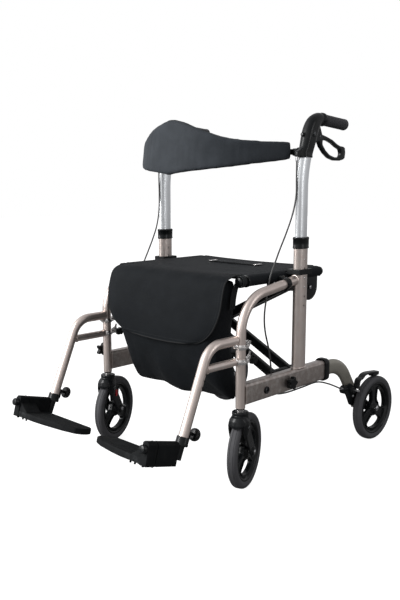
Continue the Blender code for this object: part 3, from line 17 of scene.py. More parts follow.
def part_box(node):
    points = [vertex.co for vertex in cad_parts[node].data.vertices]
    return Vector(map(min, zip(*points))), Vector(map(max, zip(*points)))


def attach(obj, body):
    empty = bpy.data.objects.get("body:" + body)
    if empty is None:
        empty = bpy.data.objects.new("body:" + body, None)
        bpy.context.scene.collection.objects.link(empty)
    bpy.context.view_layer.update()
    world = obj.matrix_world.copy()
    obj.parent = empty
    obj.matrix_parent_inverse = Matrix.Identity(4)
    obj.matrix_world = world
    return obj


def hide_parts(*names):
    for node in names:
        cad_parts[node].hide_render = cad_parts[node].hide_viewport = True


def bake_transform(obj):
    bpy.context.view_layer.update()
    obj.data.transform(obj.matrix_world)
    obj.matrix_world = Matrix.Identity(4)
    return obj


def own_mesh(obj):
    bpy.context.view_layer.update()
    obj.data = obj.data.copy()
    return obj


bl_info = {
    "name": "Side-folding rollator",
    "version": (1, 0, 0),
    "blender": (4, 5, 0),
    "location": "3D View > Sidebar > Rollator",
    "description": "Builds the pieces and finishes of a side-folding rollator with footrests",
    "category": "Add Mesh",
}

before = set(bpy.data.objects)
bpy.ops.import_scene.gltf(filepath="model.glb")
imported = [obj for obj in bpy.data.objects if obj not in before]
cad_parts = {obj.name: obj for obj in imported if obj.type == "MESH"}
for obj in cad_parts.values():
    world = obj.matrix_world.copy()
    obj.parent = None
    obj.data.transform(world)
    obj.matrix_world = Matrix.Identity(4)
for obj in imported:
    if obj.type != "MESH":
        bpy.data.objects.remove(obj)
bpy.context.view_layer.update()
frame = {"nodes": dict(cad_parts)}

X, Y, Z = Vector((1, 0, 0)), Vector((0, 1, 0)), Vector((0, 0, 1))
SIDES = (("left", 1), ("right", -1))

# Places that the frame's drawing gives, for the left side
SIDE_X = 0.268
FRONT_Y = -0.250
POST_Y = -0.004
BEAM_Z = 0.260
PIVOT_X = 0.232
LOWER_PIVOT_Z = 0.275
UPPER_PIVOT_Z = 0.508
BRACE_Y = -0.040
RAIL_Z = 0.543
RAIL_FRONT_Y, RAIL_REAR_Y = -0.190, 0.130
RAIL_RADIUS = 0.0125
SLEEVE_HALF = 0.046
REAR_WHEEL = Vector((0.302, 0.348, 0.100))
BRAKE_PIVOT = (0.247, 0.174)
GRIP_START = Vector((SIDE_X, 0.084, 0.965))
GRIP_DROOP = math.radians(4)
GRIP_WAY = Vector((0, math.cos(GRIP_DROOP), -math.sin(GRIP_DROOP)))
LEVER_PIVOT = (0.060, 0.918)
BACKREST_PIVOT = (0.004, 0.877)
SOCKET_X = SIDE_X - 0.0165
BACKREST_RADIUS = SOCKET_X - 0.0045
HANGER_X = 0.262
HANGER_END = Vector((HANGER_X, -0.4545, 0.1865))
HANGER_SLOPE = math.radians(23.1)
HANGER_DOWN = Vector((0, -math.sin(HANGER_SLOPE), -math.cos(HANGER_SLOPE)))
HANGER_TOP_Z = 0.402
ARM_Z = 0.347
CLAMP_HEIGHTS = (0.385, ARM_Z)
HANGER_REAR = Vector((0, -HANGER_DOWN.z, HANGER_DOWN.y))
PLATE_TILT = math.radians(15)
CASTER_TRAIL = 0.035
CASTER_TURN = math.radians(200)
HOLE_DROP, HOLE_STEP = 0.052, 0.0254  # post holes: the first below the top, and from one to the next
SATIN = 0.3  # a metal as rough as this shows no drawn lines

# Brake cable from the housing's stop to the stop beside the rear wheel
CABLE_RADIUS = 0.0023
CABLE_ROUTE = (
    (0.2680, -0.0295, 0.8624), (0.2680, -0.0295, 0.8100), (0.2675, -0.0290, 0.7600),
    (0.2620, -0.0360, 0.7120), (0.2550, -0.0530, 0.6620), (0.2515, -0.0760, 0.6180),
    (0.2510, -0.0945, 0.5845), (0.2510, -0.1150, 0.5460), (0.2510, -0.1265, 0.5020),
    (0.2510, -0.1360, 0.4500), (0.2510, -0.1320, 0.4050), (0.2500, -0.1130, 0.3500),
    (0.2495, -0.1030, 0.3000), (0.2495, -0.0990, 0.2600), (0.2500, -0.0870, 0.2270),
    (0.2520, -0.0400, 0.2175), (0.2520, 0.0400, 0.2175), (0.2535, 0.1080, 0.2190),
    (0.2630, 0.1560, 0.2060), (0.2815, 0.19263, 0.18764), (0.2815, 0.2060, 0.1835),
)

# Side views of the bag: (y, z) along the flap, (z, y) down the pouch's front and back
BAG_HALF = 0.215
FLAP_PROFILE = ((-0.1945, 0.5470), (-0.1965, 0.5530), (-0.204, 0.5575), (-0.220, 0.5585), (-0.243, 0.5560),
                (-0.261, 0.5470), (-0.2730, 0.5290), (-0.2810, 0.5000), (-0.2875, 0.4650), (-0.2910, 0.4320),
                (-0.2915, 0.4020), (-0.2905, 0.3770))
POUCH_FRONT = ((0.5440, -0.258), (0.5200, -0.268), (0.4800, -0.276), (0.4300, -0.281), (0.3800, -0.279),
               (0.3400, -0.268), (0.3000, -0.252), (0.2620, -0.233), (0.2360, -0.214), (0.2200, -0.196))
POUCH_BACK = ((0.5440, -0.196), (0.5200, -0.190), (0.4800, -0.183), (0.4300, -0.177), (0.3800, -0.173),
              (0.3400, -0.170), (0.3000, -0.168), (0.2620, -0.169), (0.2360, -0.173), (0.2200, -0.184))

low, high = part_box("left_rear_post")
SHIFT = Vector((0, (low.y + high.y) / 2 - POST_Y, 0))


# Settings that a user would change

def colour_setting(name, description, colour):
    return FloatVectorProperty(name=name, description=description, subtype="COLOR", size=3, min=0, max=1,
                               default=colour)


def length_setting(name, description, metres):
    return FloatProperty(name=name, description=description, unit="LENGTH", default=metres)


class RollatorFinishes(bpy.types.PropertyGroup):
    """Colours of the finishes."""
    frame_colour: colour_setting("Frame", "Champagne lacquer of the side frames", (0.62, 0.535, 0.495))
    leg_colour: colour_setting("Rear legs", "Greyer lacquer of the rear legs", (0.29, 0.275, 0.235))
    silver_colour: colour_setting("Handle tubes", "Anodised handle tubes and bright fittings", (0.80, 0.82, 0.84))
    plastic_colour: colour_setting("Plastic", "Moulded black fittings", (0.0034, 0.0041, 0.0046))
    rubber_colour: colour_setting("Rubber", "Tyres and grips", (0.0060, 0.0066, 0.0070))
    cloth_colour: colour_setting("Nylon", "Bag, seat and webbing", (0.0042, 0.0052, 0.0064))
    band_colour: colour_setting("Backrest", "Smooth cover of the backrest band", (0.0240, 0.0275, 0.0320))


class RollatorFrameSizes(bpy.types.PropertyGroup):
    """Sections of the frame tubes."""
    tube_radius: length_setting("Front tube radius", "Outer radius of the front tubes", 0.0127)
    tube_bend: length_setting("Front bend", "Radius of the bend at the top of the front tubes", 0.100)
    wall: length_setting("Tube wall", "Wall of the frame tubes", 0.0018)
    post_depth: length_setting("Post depth", "Oval post, front to back", 0.050)
    post_width: length_setting("Post width", "Oval post, side to side", 0.030)
    post_top: length_setting("Post top", "Height of the post's open end", 0.642)
    beam_height: length_setting("Beam height", "Lower beam, top to bottom", 0.056)
    beam_width: length_setting("Beam width", "Lower beam, side to side", 0.030)
    hole_radius: length_setting("Height holes", "Radius of the height adjustment holes", 0.0032)
    hole_count: IntProperty(name="Holes", description="Number of height holes in a post", default=6, min=1, max=20)
    hanger_radius: length_setting("Hanger radius", "Outer radius of the footrest hangers", 0.0125)


class RollatorWheelSizes(bpy.types.PropertyGroup):
    """Wheels, the same at front and rear."""
    radius: length_setting("Wheel radius", "Outer radius of the tyre", 0.100)
    width: length_setting("Tyre width", "Width of the tyre", 0.028)
    seat_radius: length_setting("Rim radius", "Radius at which tyre and rim meet", 0.081)
    windows: IntProperty(name="Windows", description="Openings between the spokes", default=3, min=2, max=8)


class RollatorSoftSizes(bpy.types.PropertyGroup):
    """Cloth, padding and seams."""
    band_thickness: length_setting("Band thickness", "Thickness of the backrest pad before it swells", 0.019)
    pressure: FloatProperty(name="Pad pressure", description="Air pressure that swells the pads", default=4.0,
                            min=0.0)
    seat_sag: length_setting("Seat sag", "Drop of the seat between its rails", 0.004)
    piping: length_setting("Piping", "Radius of the piping cord", 0.0016)
    stitch: length_setting("Stitch", "Length from one stitch to the next", 0.0042)


class RollatorStage(bpy.types.PropertyGroup):
    """Floor, backdrop and lights."""
    floor_colour: colour_setting("Floor", "Colour of the floor", (0.93, 0.93, 0.93))
    sun_power: FloatProperty(name="Sun", description="Strength of the wide sun at the camera's left", default=0.8,
                             min=0.0)
    key_power: FloatProperty(name="Key light", description="Power of the large light at the camera's left",
                             unit="POWER", default=95.0)
    fill_power: FloatProperty(name="Fill light", description="Power of the light at the camera's right",
                              unit="POWER", default=10.0)


class RollatorSettings(bpy.types.PropertyGroup):
    """All settings of the rollator."""
    finishes: PointerProperty(type=RollatorFinishes)
    frame: PointerProperty(type=RollatorFrameSizes)
    wheel: PointerProperty(type=RollatorWheelSizes)
    soft: PointerProperty(type=RollatorSoftSizes)
    stage: PointerProperty(type=RollatorStage)


def settings():
    return bpy.context.scene.rollator


# Node trees

class NodeTree:
    """Adds nodes to a tree and links them."""

    def __init__(self, tree):
        self.tree = tree

    def link(self, value, socket):
        """Feed a socket from a node's first output, from another socket or with a plain value."""
        if isinstance(value, bpy.types.Node):
            value = value.outputs[0]
        if isinstance(value, bpy.types.NodeSocket):
            self.tree.links.new(value, socket)
        else:
            socket.default_value = value

    def add(self, kind, inputs=None, **options):
        """A new node, its options set first and then its inputs by name or number."""
        node = self.tree.nodes.new(kind)
        for name, value in options.items():
            setattr(node, name, value)
        for name, value in (inputs or {}).items():
            self.link(value, node.inputs[name])
        return node

    def give(self, **results):
        """Link results to the group's outputs."""
        for name, value in results.items():
            self.link(value, self.end.inputs[name])

    def give_shape(self, shape):
        """Give the shape as the group's result, as a mesh with the group's material."""
        real = self.add("GeometryNodeRealizeInstances", {"Geometry": shape})
        self.give(Geometry=self.add("GeometryNodeSetMaterial",
                                    {"Geometry": real, "Material": self.start["Material"]}))

    def shine(self, **values):
        """Set plain values of the shader, a _ in a name for each space."""
        for name, value in values.items():
            self.shader.inputs[name.replace("_", " ")].default_value = value

    def math(self, operation, a, b=0.0, c=0.0, clamp=False):
        return self.add("ShaderNodeMath", {0: a, 1: b, 2: c}, operation=operation, use_clamp=clamp).outputs[0]

    def mix(self, factor, a, b):
        return self.add("ShaderNodeMix", {0: factor, 6: a, 7: b}, data_type="RGBA").outputs[2]

    def ramp(self, factor, start, end):
        """Smooth step of a value from 0 at `start` to 1 at `end`."""
        node = self.add("ShaderNodeMapRange", {"Value": factor, "From Min": start, "From Max": end},
                        interpolation_type="SMOOTHSTEP")
        return node.outputs["Result"]

    def noise(self, vector, scale, detail=2.0, roughness=0.5):
        return self.add("ShaderNodeTexNoise", {"Vector": vector, "Scale": scale, "Detail": detail,
                                               "Roughness": roughness}).outputs["Fac"]


def group_tree(name, kind, inputs, outputs):
    """A node group with named sockets, or None if it is already there."""
    if name in bpy.data.node_groups:
        return None
    tree = bpy.data.node_groups.new(name, kind)
    for label, socket_kind, default in inputs:
        socket = tree.interface.new_socket(label, in_out="INPUT", socket_type=socket_kind)
        if default is not None:
            socket.default_value = default
    for label, socket_kind in outputs:
        tree.interface.new_socket(label, in_out="OUTPUT", socket_type=socket_kind)
    nodes = NodeTree(tree)
    nodes.start = nodes.add("NodeGroupInput").outputs
    nodes.end = nodes.add("NodeGroupOutput")
    return nodes


FLOAT, COLOUR, VECTOR, INT = "NodeSocketFloat", "NodeSocketColor", "NodeSocketVector", "NodeSocketInt"
GEOMETRY, MATERIAL = "NodeSocketGeometry", "NodeSocketMaterial"


def effect_tree(name, *inputs, outputs=("Colour", "Height", "Gloss")):
    """A shader group that is mapped by a vector."""
    return group_tree(name, "ShaderNodeTree", [("Vector", VECTOR, None), *inputs],
                      [(label, COLOUR if label == "Colour" else FLOAT) for label in outputs])


def shape_tree(name, *inputs):
    """A geometry group from a geometry and a material to a geometry."""
    return group_tree(name, "GeometryNodeTree", [("Geometry", GEOMETRY, None), *inputs, ("Material", MATERIAL, None)],
                      [("Geometry", GEOMETRY)])


def shader_groups():
    """Effects that several finishes share."""
    paint = ("Colour", COLOUR, None)
    t = effect_tree("moulded_grain", ("Scale", FLOAT, 900.0), paint)
    if t:
        grain = t.noise(t.start["Vector"], t.start["Scale"], 3.0, 0.6)
        cloud = t.noise(t.start["Vector"], 26.0, 3.0, 0.6)
        pale = t.mix(0.05, t.start["Colour"], (0.06, 0.065, 0.07, 1))
        t.give(Colour=t.mix(t.ramp(cloud, 0.35, 0.75), t.start["Colour"], pale), Height=grain,
               Gloss=t.math("MULTIPLY_ADD", cloud, 0.14, t.math("MULTIPLY", grain, 0.08)))

    t = effect_tree("worn_edges", ("Edge", FLOAT, 0.5), ("Start", FLOAT, 0.53), ("Amount", FLOAT, 0.5),
                    outputs=["Mask"])
    if t:
        rubbed = t.noise(t.start["Vector"], 70.0, 4.0, 0.7)
        edge = t.ramp(t.start["Edge"], t.start["Start"], t.math("ADD", t.start["Start"], 0.07))
        mask = t.math("MULTIPLY", edge, t.ramp(rubbed, 0.42, 0.68))
        t.give(Mask=t.math("MULTIPLY", mask, t.start["Amount"], clamp=True))

    t = effect_tree("lacquer", paint, ("Flake", FLOAT, 1600.0))
    if t:
        flake = t.noise(t.start["Vector"], t.start["Flake"], 1.0, 0.5)
        cloud = t.noise(t.start["Vector"], 14.0, 4.0, 0.6)
        deep = t.mix(0.90, (0, 0, 0, 1), t.start["Colour"])
        shade = t.mix(t.ramp(cloud, 0.25, 0.75), deep, t.start["Colour"])
        bright = t.mix(t.math("MULTIPLY", t.ramp(flake, 0.56, 0.72), 0.16), shade, (0.75, 0.70, 0.66, 1))
        t.give(Colour=bright, Height=flake, Gloss=t.math("MULTIPLY", cloud, 0.14))

    t = effect_tree("drawn_lines", ("Scale", FLOAT, 500.0), outputs=["Height", "Gloss"])
    if t:
        drawn_out = t.add("ShaderNodeVectorMath", {0: t.start["Vector"], 1: (1.0, 1.0, 0.03)}, operation="MULTIPLY")
        line = t.noise(drawn_out, t.start["Scale"], 4.0, 0.7)
        t.give(Height=line, Gloss=t.math("MULTIPLY", line, 0.07))

    t = effect_tree("plain_weave", ("Thread", FLOAT, 0.0011), paint, ("Sheen", COLOUR, None))
    if t:
        parts = t.add("ShaderNodeSeparateXYZ", {0: t.start["Vector"]}).outputs
        turns = t.math("DIVIDE", math.pi, t.start["Thread"])
        across, along = [t.math("SINE", t.math("MULTIPLY", part, turns)) for part in parts[:2]]
        crossing = t.math("MULTIPLY", across, along)
        cloud = t.noise(t.start["Vector"], 22.0, 4.0, 0.6)
        slub = t.noise(t.start["Vector"], 420.0, 2.0, 0.5)
        # Clouds lighten the cloth at random, and the raised thread crossings lean towards the lighter Sheen colour: a
        # painted sheen.
        shade = t.mix(t.math("MULTIPLY", t.ramp(cloud, 0.3, 0.8), 0.55), t.start["Colour"], t.start["Sheen"])
        over = t.math("MULTIPLY", t.math("MULTIPLY_ADD", crossing, 0.5, 0.5), 0.22)
        t.give(Colour=t.mix(over, shade, t.start["Sheen"]),
               Height=t.math("ADD", t.math("ABSOLUTE", crossing), t.math("MULTIPLY", slub, 0.4)),
               Gloss=t.math("MULTIPLY", slub, 0.18))

    t = effect_tree("floor_dust", paint, ("Amount", FLOAT, 0.3), outputs=["Colour", "Gloss"])
    if t:
        cloud = t.noise(t.start["Vector"], 55.0, 5.0, 0.65)
        mask = t.math("MULTIPLY", t.ramp(cloud, 0.40, 0.78), t.start["Amount"])
        t.give(Colour=t.mix(mask, t.start["Colour"], (0.10, 0.10, 0.098, 1)), Gloss=t.math("MULTIPLY", mask, 0.35))


def colour4(colour):
    return (*colour, 1)


def new_material(name):
    material = bpy.data.materials.new(name)
    material.use_nodes = True
    nodes = NodeTree(material.node_tree)
    nodes.shader = material.node_tree.nodes["Principled BSDF"]
    nodes.place = nodes.add("ShaderNodeTexCoord").outputs["Object"]
    return material, nodes


def use_group(nodes, name, inputs):
    return nodes.add("ShaderNodeGroup", inputs, node_tree=bpy.data.node_groups[name]).outputs


def wire(nodes, colour, gloss, rough, height=None, depth=0.00002):
    """Link a colour, a roughness with some gloss on top and a bump height to the shader."""
    nodes.link(colour, nodes.shader.inputs["Base Color"])
    nodes.link(rough if gloss is None else nodes.math("ADD", gloss, rough, clamp=True),
               nodes.shader.inputs["Roughness"])
    if height is not None:
        bump = nodes.add("ShaderNodeBump", {"Height": height, "Strength": 1.0, "Distance": depth})
        nodes.link(bump, nodes.shader.inputs["Normal"])


def worn(nodes, amount):
    """Mask of the edges that have been rubbed."""
    edge = nodes.add("ShaderNodeNewGeometry").outputs["Pointiness"]
    return use_group(nodes, "worn_edges", {"Vector": nodes.place, "Edge": edge, "Amount": amount})["Mask"]


def lacquered(name, colour, metallic=0.85, rough=0.28):
    material, t = new_material(name)
    paint = use_group(t, "lacquer", {"Vector": t.place, "Colour": colour4(colour)})
    wire(t, t.mix(worn(t, 0.5), paint["Colour"], (0.62, 0.60, 0.58, 1)), paint["Gloss"], rough, paint["Height"],
         0.00001)
    t.shine(Metallic=metallic, Coat_Weight=0.20, Coat_Roughness=0.12)
    return material


def bright_metal(name, colour, rough=0.12, scale=500.0):
    material, t = new_material(name)
    drawn = use_group(t, "drawn_lines", {"Vector": t.place, "Scale": scale})
    cloud = t.noise(t.place, 18.0, 3.0)
    dim = t.mix(0.94, (0, 0, 0, 1), colour4(colour))
    wire(t, t.mix(t.ramp(cloud, 0.3, 0.7), dim, colour4(colour)), drawn["Gloss"], rough,
         drawn["Height"] if rough < SATIN else None, 0.000001)
    t.shine(Metallic=1.0)
    return material


def moulded(name, colour, rough=0.34, grain=900.0, depth=0.00005, wear=0.35, dust=0.0, shine=0.20):
    material, t = new_material(name)
    skin = use_group(t, "moulded_grain", {"Vector": t.place, "Scale": grain, "Colour": colour4(colour)})
    shade, gloss = t.mix(worn(t, wear), skin["Colour"], (0.055, 0.058, 0.060, 1)), skin["Gloss"]
    if dust:
        dusty = use_group(t, "floor_dust", {"Vector": t.place, "Colour": shade, "Amount": dust})
        shade, gloss = dusty["Colour"], t.math("ADD", gloss, dusty["Gloss"])
    wire(t, shade, gloss, rough, skin["Height"], depth)
    t.shine(Specular_IOR_Level=shine)
    return material


def woven(name, colour, thread=0.0011, rough=0.62, depth=0.00012, sheen=0.01):
    """Cloth that reads its own UV map, in metres along the threads."""
    material, t = new_material(name)
    uv = t.add("ShaderNodeUVMap", uv_map="threads").outputs[0]
    light = colour4(min(1.0, 1.6 * c + 0.0015) for c in colour)
    weave = use_group(t, "plain_weave", {"Vector": uv, "Thread": thread, "Colour": colour4(colour), "Sheen": light})
    wire(t, weave["Colour"], weave["Gloss"], rough, weave["Height"], depth)
    t.shine(Specular_IOR_Level=0.08, Sheen_Weight=sheen, Sheen_Roughness=0.5)
    return material


def shaded(colour, share):
    return tuple(share * c for c in colour)


def finish(name):
    """A finish by name, made when it is first used."""
    if name in bpy.data.materials:
        return bpy.data.materials[name]
    f = settings().finishes
    maker, *values = {
        "champagne_lacquer": (lacquered, f.frame_colour),
        # The beam's lacquer is the frame colour at 0.52: a darker copy of it that paints the shade on the beam's
        # outer face.
        "beam_lacquer": (lacquered, shaded(f.frame_colour, 0.52)),
        "bronze_lacquer": (lacquered, f.leg_colour, 0.6, 0.32),
        "anodised_silver": (bright_metal, f.silver_colour, 0.34, 1400.0),
        "polished_chrome": (bright_metal, (0.66, 0.64, 0.63), 0.13, 300.0),
        "zinc_steel": (bright_metal, (0.46, 0.46, 0.47), 0.24, 260.0),
        "dark_steel": (bright_metal, (0.10, 0.105, 0.11), 0.30, 260.0),
        "black_moulding": (moulded, f.plastic_colour, 0.24),
        "black_gloss_moulding": (moulded, f.plastic_colour, 0.14, 1200.0, 0.00002, 0.25),
        "plate_moulding": (moulded, shaded(f.plastic_colour, 0.8), 0.60, 700.0, 0.00010, 0.30, 0.03, 0.10),
        "rim_moulding": (moulded, f.plastic_colour, 0.12, 1100.0, 0.00002, 0.25, 0.05),
        "powder_coat": (moulded, (0.0060, 0.0068, 0.0075), 0.20, 1500.0, 0.00004, 0.30),
        "grip_rubber": (moulded, f.rubber_colour, 0.26, 1300.0, 0.00006, 0.20),
        "tyre_rubber": (moulded, f.rubber_colour, 0.14, 800.0, 0.00003, 0.10, 0.10),
        "cable_casing": (moulded, (0.020, 0.020, 0.022), 0.30, 600.0, 0.00002, 0.0),
        "bag_nylon": (woven, f.cloth_colour),
        "seat_nylon": (woven, shaded(f.cloth_colour, 1.25), 0.0014, 0.60),
        "band_nylon": (woven, f.band_colour, 0.0008, 0.55, 0.00006, 0.02),
        "webbing": (woven, (0.012, 0.013, 0.014), 0.0022, 0.60, 0.00030),
        "piping": (moulded, (0.005, 0.0055, 0.006), 0.60, 500.0, 0.00006, 0.0),
        "thread": (moulded, (0.050, 0.053, 0.057), 0.60, 3000.0, 0.00004, 0.0),
        "dark_thread": (moulded, (0.020, 0.022, 0.024), 0.55, 3000.0, 0.00004, 0.0),
        "red_reflector": (moulded, (0.35, 0.015, 0.020), 0.16, 240.0, 0.00030, 0.0),
    }[name]
    return maker(name, *values)


# Shapes

def oval(depth, width, steps=48):
    """Points of a flat oval, `width` across and `depth` along the second axis."""
    radius, straight = min(depth, width) / 2, (depth - width) / 2
    points = []
    for i in range(steps):
        angle = 2 * math.pi * (i + 0.5) / steps
        points.append((radius * math.cos(angle), radius * math.sin(angle) + math.copysign(straight, math.sin(angle))))
    return points


def ellipse(depth, width, steps=48):
    """Points of a true oval."""
    turns = [2 * math.pi * (i + 0.5) / steps for i in range(steps)]
    return [(width / 2 * math.cos(a), depth / 2 * math.sin(a)) for a in turns]


def arc(radius, turns, middle=(0, 0)):
    """Points on a circle at the given angles."""
    return [(middle[0] + radius * math.cos(a), middle[1] + radius * math.sin(a)) for a in turns]


def circle(radius, count, middle=(0, 0)):
    return arc(radius, [2 * math.pi * k / count for k in range(count)], middle)


def round_corners(points, radius, steps=5, closed=True):
    """The outline again, with each corner turned into a small arc."""
    rounded, count = [], len(points)
    for i, point in enumerate(points):
        size = radius[i] if isinstance(radius, (list, tuple)) else radius
        if size <= 0 or (not closed and i in (0, count - 1)):
            rounded.append(tuple(point))
            continue
        corner = Vector(point)
        to_last, to_next = Vector(points[i - 1]) - corner, Vector(points[(i + 1) % count]) - corner
        reach = min(to_last.length, to_next.length) * 0.49
        to_last.normalize()
        to_next.normalize()
        half = math.acos(max(-1.0, min(1.0, to_last.dot(to_next)))) / 2
        if half > math.radians(88):
            rounded.append(tuple(point))
            continue
        back = min(size / math.tan(half), reach)
        size = back * math.tan(half)
        centre = corner + (to_last + to_next).normalized() * (size / math.sin(half))
        start, end = corner + to_last * back - centre, corner + to_next * back - centre
        for k in range(steps + 1):
            rounded.append(tuple(centre + start.lerp(end, k / steps).normalized() * size))
    return rounded


def box_outline(width, height, corner, steps=6):
    w, h = width / 2, height / 2
    return round_corners([(w, h), (-w, h), (-w, -h), (w, -h)], corner, steps)


def smooth_route(points, per_span=6):
    """Points on a smooth curve through the given ones."""
    points = [Vector(p) for p in points]
    padded = [points[0] * 2 - points[1]] + points + [points[-1] * 2 - points[-2]]
    route = []
    for i in range(1, len(padded) - 2):
        a, b, c, d = padded[i - 1:i + 3]
        for k in range(per_span):
            t = k / per_span
            route.append(0.5 * (2 * b + (c - a) * t + (2 * a - 5 * b + 4 * c - d) * t ** 2
                                + (3 * b - a - 3 * c + d) * t ** 3))
    route.append(points[-1])
    return route


def loft(rings, ends=True):
    """A skin over rings with the same number of points."""
    shape = bmesh.new()
    rows = [[shape.verts.new(p) for p in ring] for ring in rings]
    for a, b in zip(rows, rows[1:]):
        for k in range(len(a)):
            n = (k + 1) % len(a)
            shape.faces.new((a[k], a[n], b[n], b[k]))
    if ends:
        shape.faces.new(rows[0])
        shape.faces.new(rows[-1])
    bmesh.ops.recalc_face_normals(shape, faces=shape.faces)
    return shape


def lathe(profile, centre=(0, 0, 0), axis=Z, segments=64):
    """Turn (radius, height) points about an axis. Zero radii become poles."""
    shape = bmesh.new()
    turn = Z.rotation_difference(Vector(axis)).to_matrix()
    centre = Vector(centre)
    closed = all(r > 0 for r, _ in profile)
    poles = {i: shape.verts.new(centre + turn @ Vector((0, 0, h))) for i, (r, h) in enumerate(profile) if r <= 0}
    columns = []
    for k in range(segments):
        angle = 2 * math.pi * k / segments
        columns.append([poles[i] if i in poles else
                        shape.verts.new(centre + turn @ Vector((r * math.cos(angle), r * math.sin(angle), h)))
                        for i, (r, h) in enumerate(profile)])
    count = len(profile)
    for k in range(segments):
        a, b = columns[k], columns[(k + 1) % segments]
        for i in range(count if closed else count - 1):
            j = (i + 1) % count
            corners = []
            for vert in (a[i], b[i], b[j], a[j]):
                if vert not in corners:
                    corners.append(vert)
            if len(corners) > 2:
                shape.faces.new(corners)
    bmesh.ops.recalc_face_normals(shape, faces=shape.faces)
    return shape


def bar(start, end, radius, soft=0.0008, segments=48):
    """Round bar with softened rims."""
    start, end = Vector(start), Vector(end)
    length = (end - start).length
    profile = [(0, 0)] + round_corners([(0, 0), (radius, 0), (radius, length), (0, length)], soft, 4,
                                       False)[1:-1] + [(0, length)]
    return lathe(profile, start, end - start, segments)


def sweep(path, outline, side=X, ends=True):
    """Carry a closed outline along a path."""
    path = [Vector(p) for p in path]
    last = len(path) - 1
    rings = []
    for i, point in enumerate(path):
        before = path[i] - path[i - 1] if i else path[1] - path[0]
        after = path[i + 1] - path[i] if i < last else before
        tangent = (before.normalized() + after.normalized()).normalized()
        across = (side - tangent * side.dot(tangent)).normalized()
        upward = tangent.cross(across)
        rings.append([point + across * u + upward * v for u, v in outline])
    return loft(rings, ends)


def cord_shape(path, radius, segments=12, ends=True):
    """Round cord along any smooth path, without twist."""
    path = [Vector(p) for p in path]
    last = len(path) - 1
    tangents = [(path[min(i + 1, last)] - path[max(i - 1, 0)]).normalized() for i in range(last + 1)]
    side = X if abs(tangents[0].x) < 0.8 else Z
    rings = []
    for point, tangent in zip(path, tangents):
        side = (side - tangent * side.dot(tangent)).normalized()
        upward = tangent.cross(side)
        rings.append([point + side * u + upward * v for u, v in circle(radius, segments)])
    return loft(rings, ends)


def plate(outline, start, thickness, bevel=0.001, axes=(Y, Z, X), origin=(0, 0, 0), holes=(), steps=2):
    """Flat plate with softened rims: outlines lie along the first two axes."""
    data = bpy.data.curves.new("outline", "CURVE")
    data.dimensions = "2D"
    data.fill_mode = "BOTH"
    data.extrude = max(0.0, thickness / 2 - bevel)
    data.bevel_depth = bevel
    data.bevel_resolution = steps
    data.offset = -bevel
    for loop in (outline, *holes):
        spline = data.splines.new("POLY")
        spline.points.add(len(loop) - 1)
        spline.use_cyclic_u = True
        for point, (u, v) in zip(spline.points, loop):
            point.co = (u, v, 0, 1)
    holder = bpy.data.objects.new("outline", data)
    bpy.context.scene.collection.objects.link(holder)
    mesh = bpy.data.meshes.new_from_object(holder.evaluated_get(bpy.context.evaluated_depsgraph_get()))
    shape = bmesh.new()
    shape.from_mesh(mesh)
    bpy.data.objects.remove(holder)
    bpy.data.curves.remove(data)
    bpy.data.meshes.remove(mesh)
    bmesh.ops.remove_doubles(shape, verts=shape.verts, dist=1e-6)
    first, second, third = axes
    turn = Matrix((first, second, third)).transposed().to_4x4()
    move = Matrix.Translation(Vector(origin) + third * (start + thickness / 2))
    bmesh.ops.transform(shape, matrix=move @ turn, verts=shape.verts)
    bmesh.ops.recalc_face_normals(shape, faces=shape.faces)
    return shape


def lobed(radius, valley, lobes, steps=8):
    """Outline of a hand knob."""
    points = []
    for k in range(lobes * steps):
        angle = 2 * math.pi * k / (lobes * steps)
        points += arc((radius + valley) / 2 + (radius - valley) / 2 * math.cos(lobes * angle), [angle])
    return points


def join(*shapes):
    """Several shapes in one mesh."""
    whole = shapes[0]
    for shape in shapes[1:]:
        mesh = bpy.data.meshes.new("joined")
        shape.to_mesh(mesh)
        shape.free()
        whole.from_mesh(mesh)
        bpy.data.meshes.remove(mesh)
    return whole


def through(shape, *steps):
    """The shape after modifiers, each given as (kind, settings)."""
    mesh = bpy.data.meshes.new("worked")
    shape.to_mesh(mesh)
    shape.free()
    holder = bpy.data.objects.new("worked", mesh)
    bpy.context.scene.collection.objects.link(holder)
    helpers = []
    for kind, options in steps:
        modifier = holder.modifiers.new(kind.lower(), kind)
        for name, value in options.items():
            if isinstance(value, bmesh.types.BMesh):
                tool = bpy.data.meshes.new("tool")
                value.to_mesh(tool)
                value.free()
                value = bpy.data.objects.new("tool", tool)
                bpy.context.scene.collection.objects.link(value)
                helpers.append(value)
            setattr(modifier, name, value)
    result = bpy.data.meshes.new_from_object(holder.evaluated_get(bpy.context.evaluated_depsgraph_get()))
    worked = bmesh.new()
    worked.from_mesh(result)
    bpy.data.meshes.remove(result)
    for helper in (holder, *helpers):
        data = helper.data
        bpy.data.objects.remove(helper)
        bpy.data.meshes.remove(data)
    return worked


def cast(shape, voxel=0.0012, rounds=5):
    """Join overlapping solids into one skin with soft inside corners."""
    return through(shape, ("REMESH", {"mode": "VOXEL", "voxel_size": voxel}),
                   ("SMOOTH", {"factor": 0.5, "iterations": rounds}))


def carve(shape, *tools):
    for tool in tools:
        shape = through(shape, ("BOOLEAN", {"operation": "DIFFERENCE", "solver": "EXACT", "object": tool}))
    return shape


def node_shape(name):
    """A copy of a CAD node in the drawing's own place, its triangles merged."""
    shape = bmesh.new()
    shape.from_mesh(frame["nodes"][name].data)
    bmesh.ops.remove_doubles(shape, verts=shape.verts, dist=1e-6)
    bmesh.ops.translate(shape, verts=shape.verts, vec=-SHIFT)
    return shape


# Finished pieces

def show(name, mesh, material, body, replaces=(), sharp=35.0):
    """Link a finished mesh, give it its finish and let it ride on a body."""
    mesh.name = name
    mesh.shade_smooth()
    if sharp:
        mesh.set_sharp_from_angle(angle=math.radians(sharp))
    mesh.materials.clear()
    mesh.materials.append(finish(material))
    piece = bpy.data.objects.new(name, mesh)
    bpy.context.scene.collection.objects.link(piece)
    if body:
        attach(piece, body)
    if replaces:
        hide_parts(*replaces)
    return piece


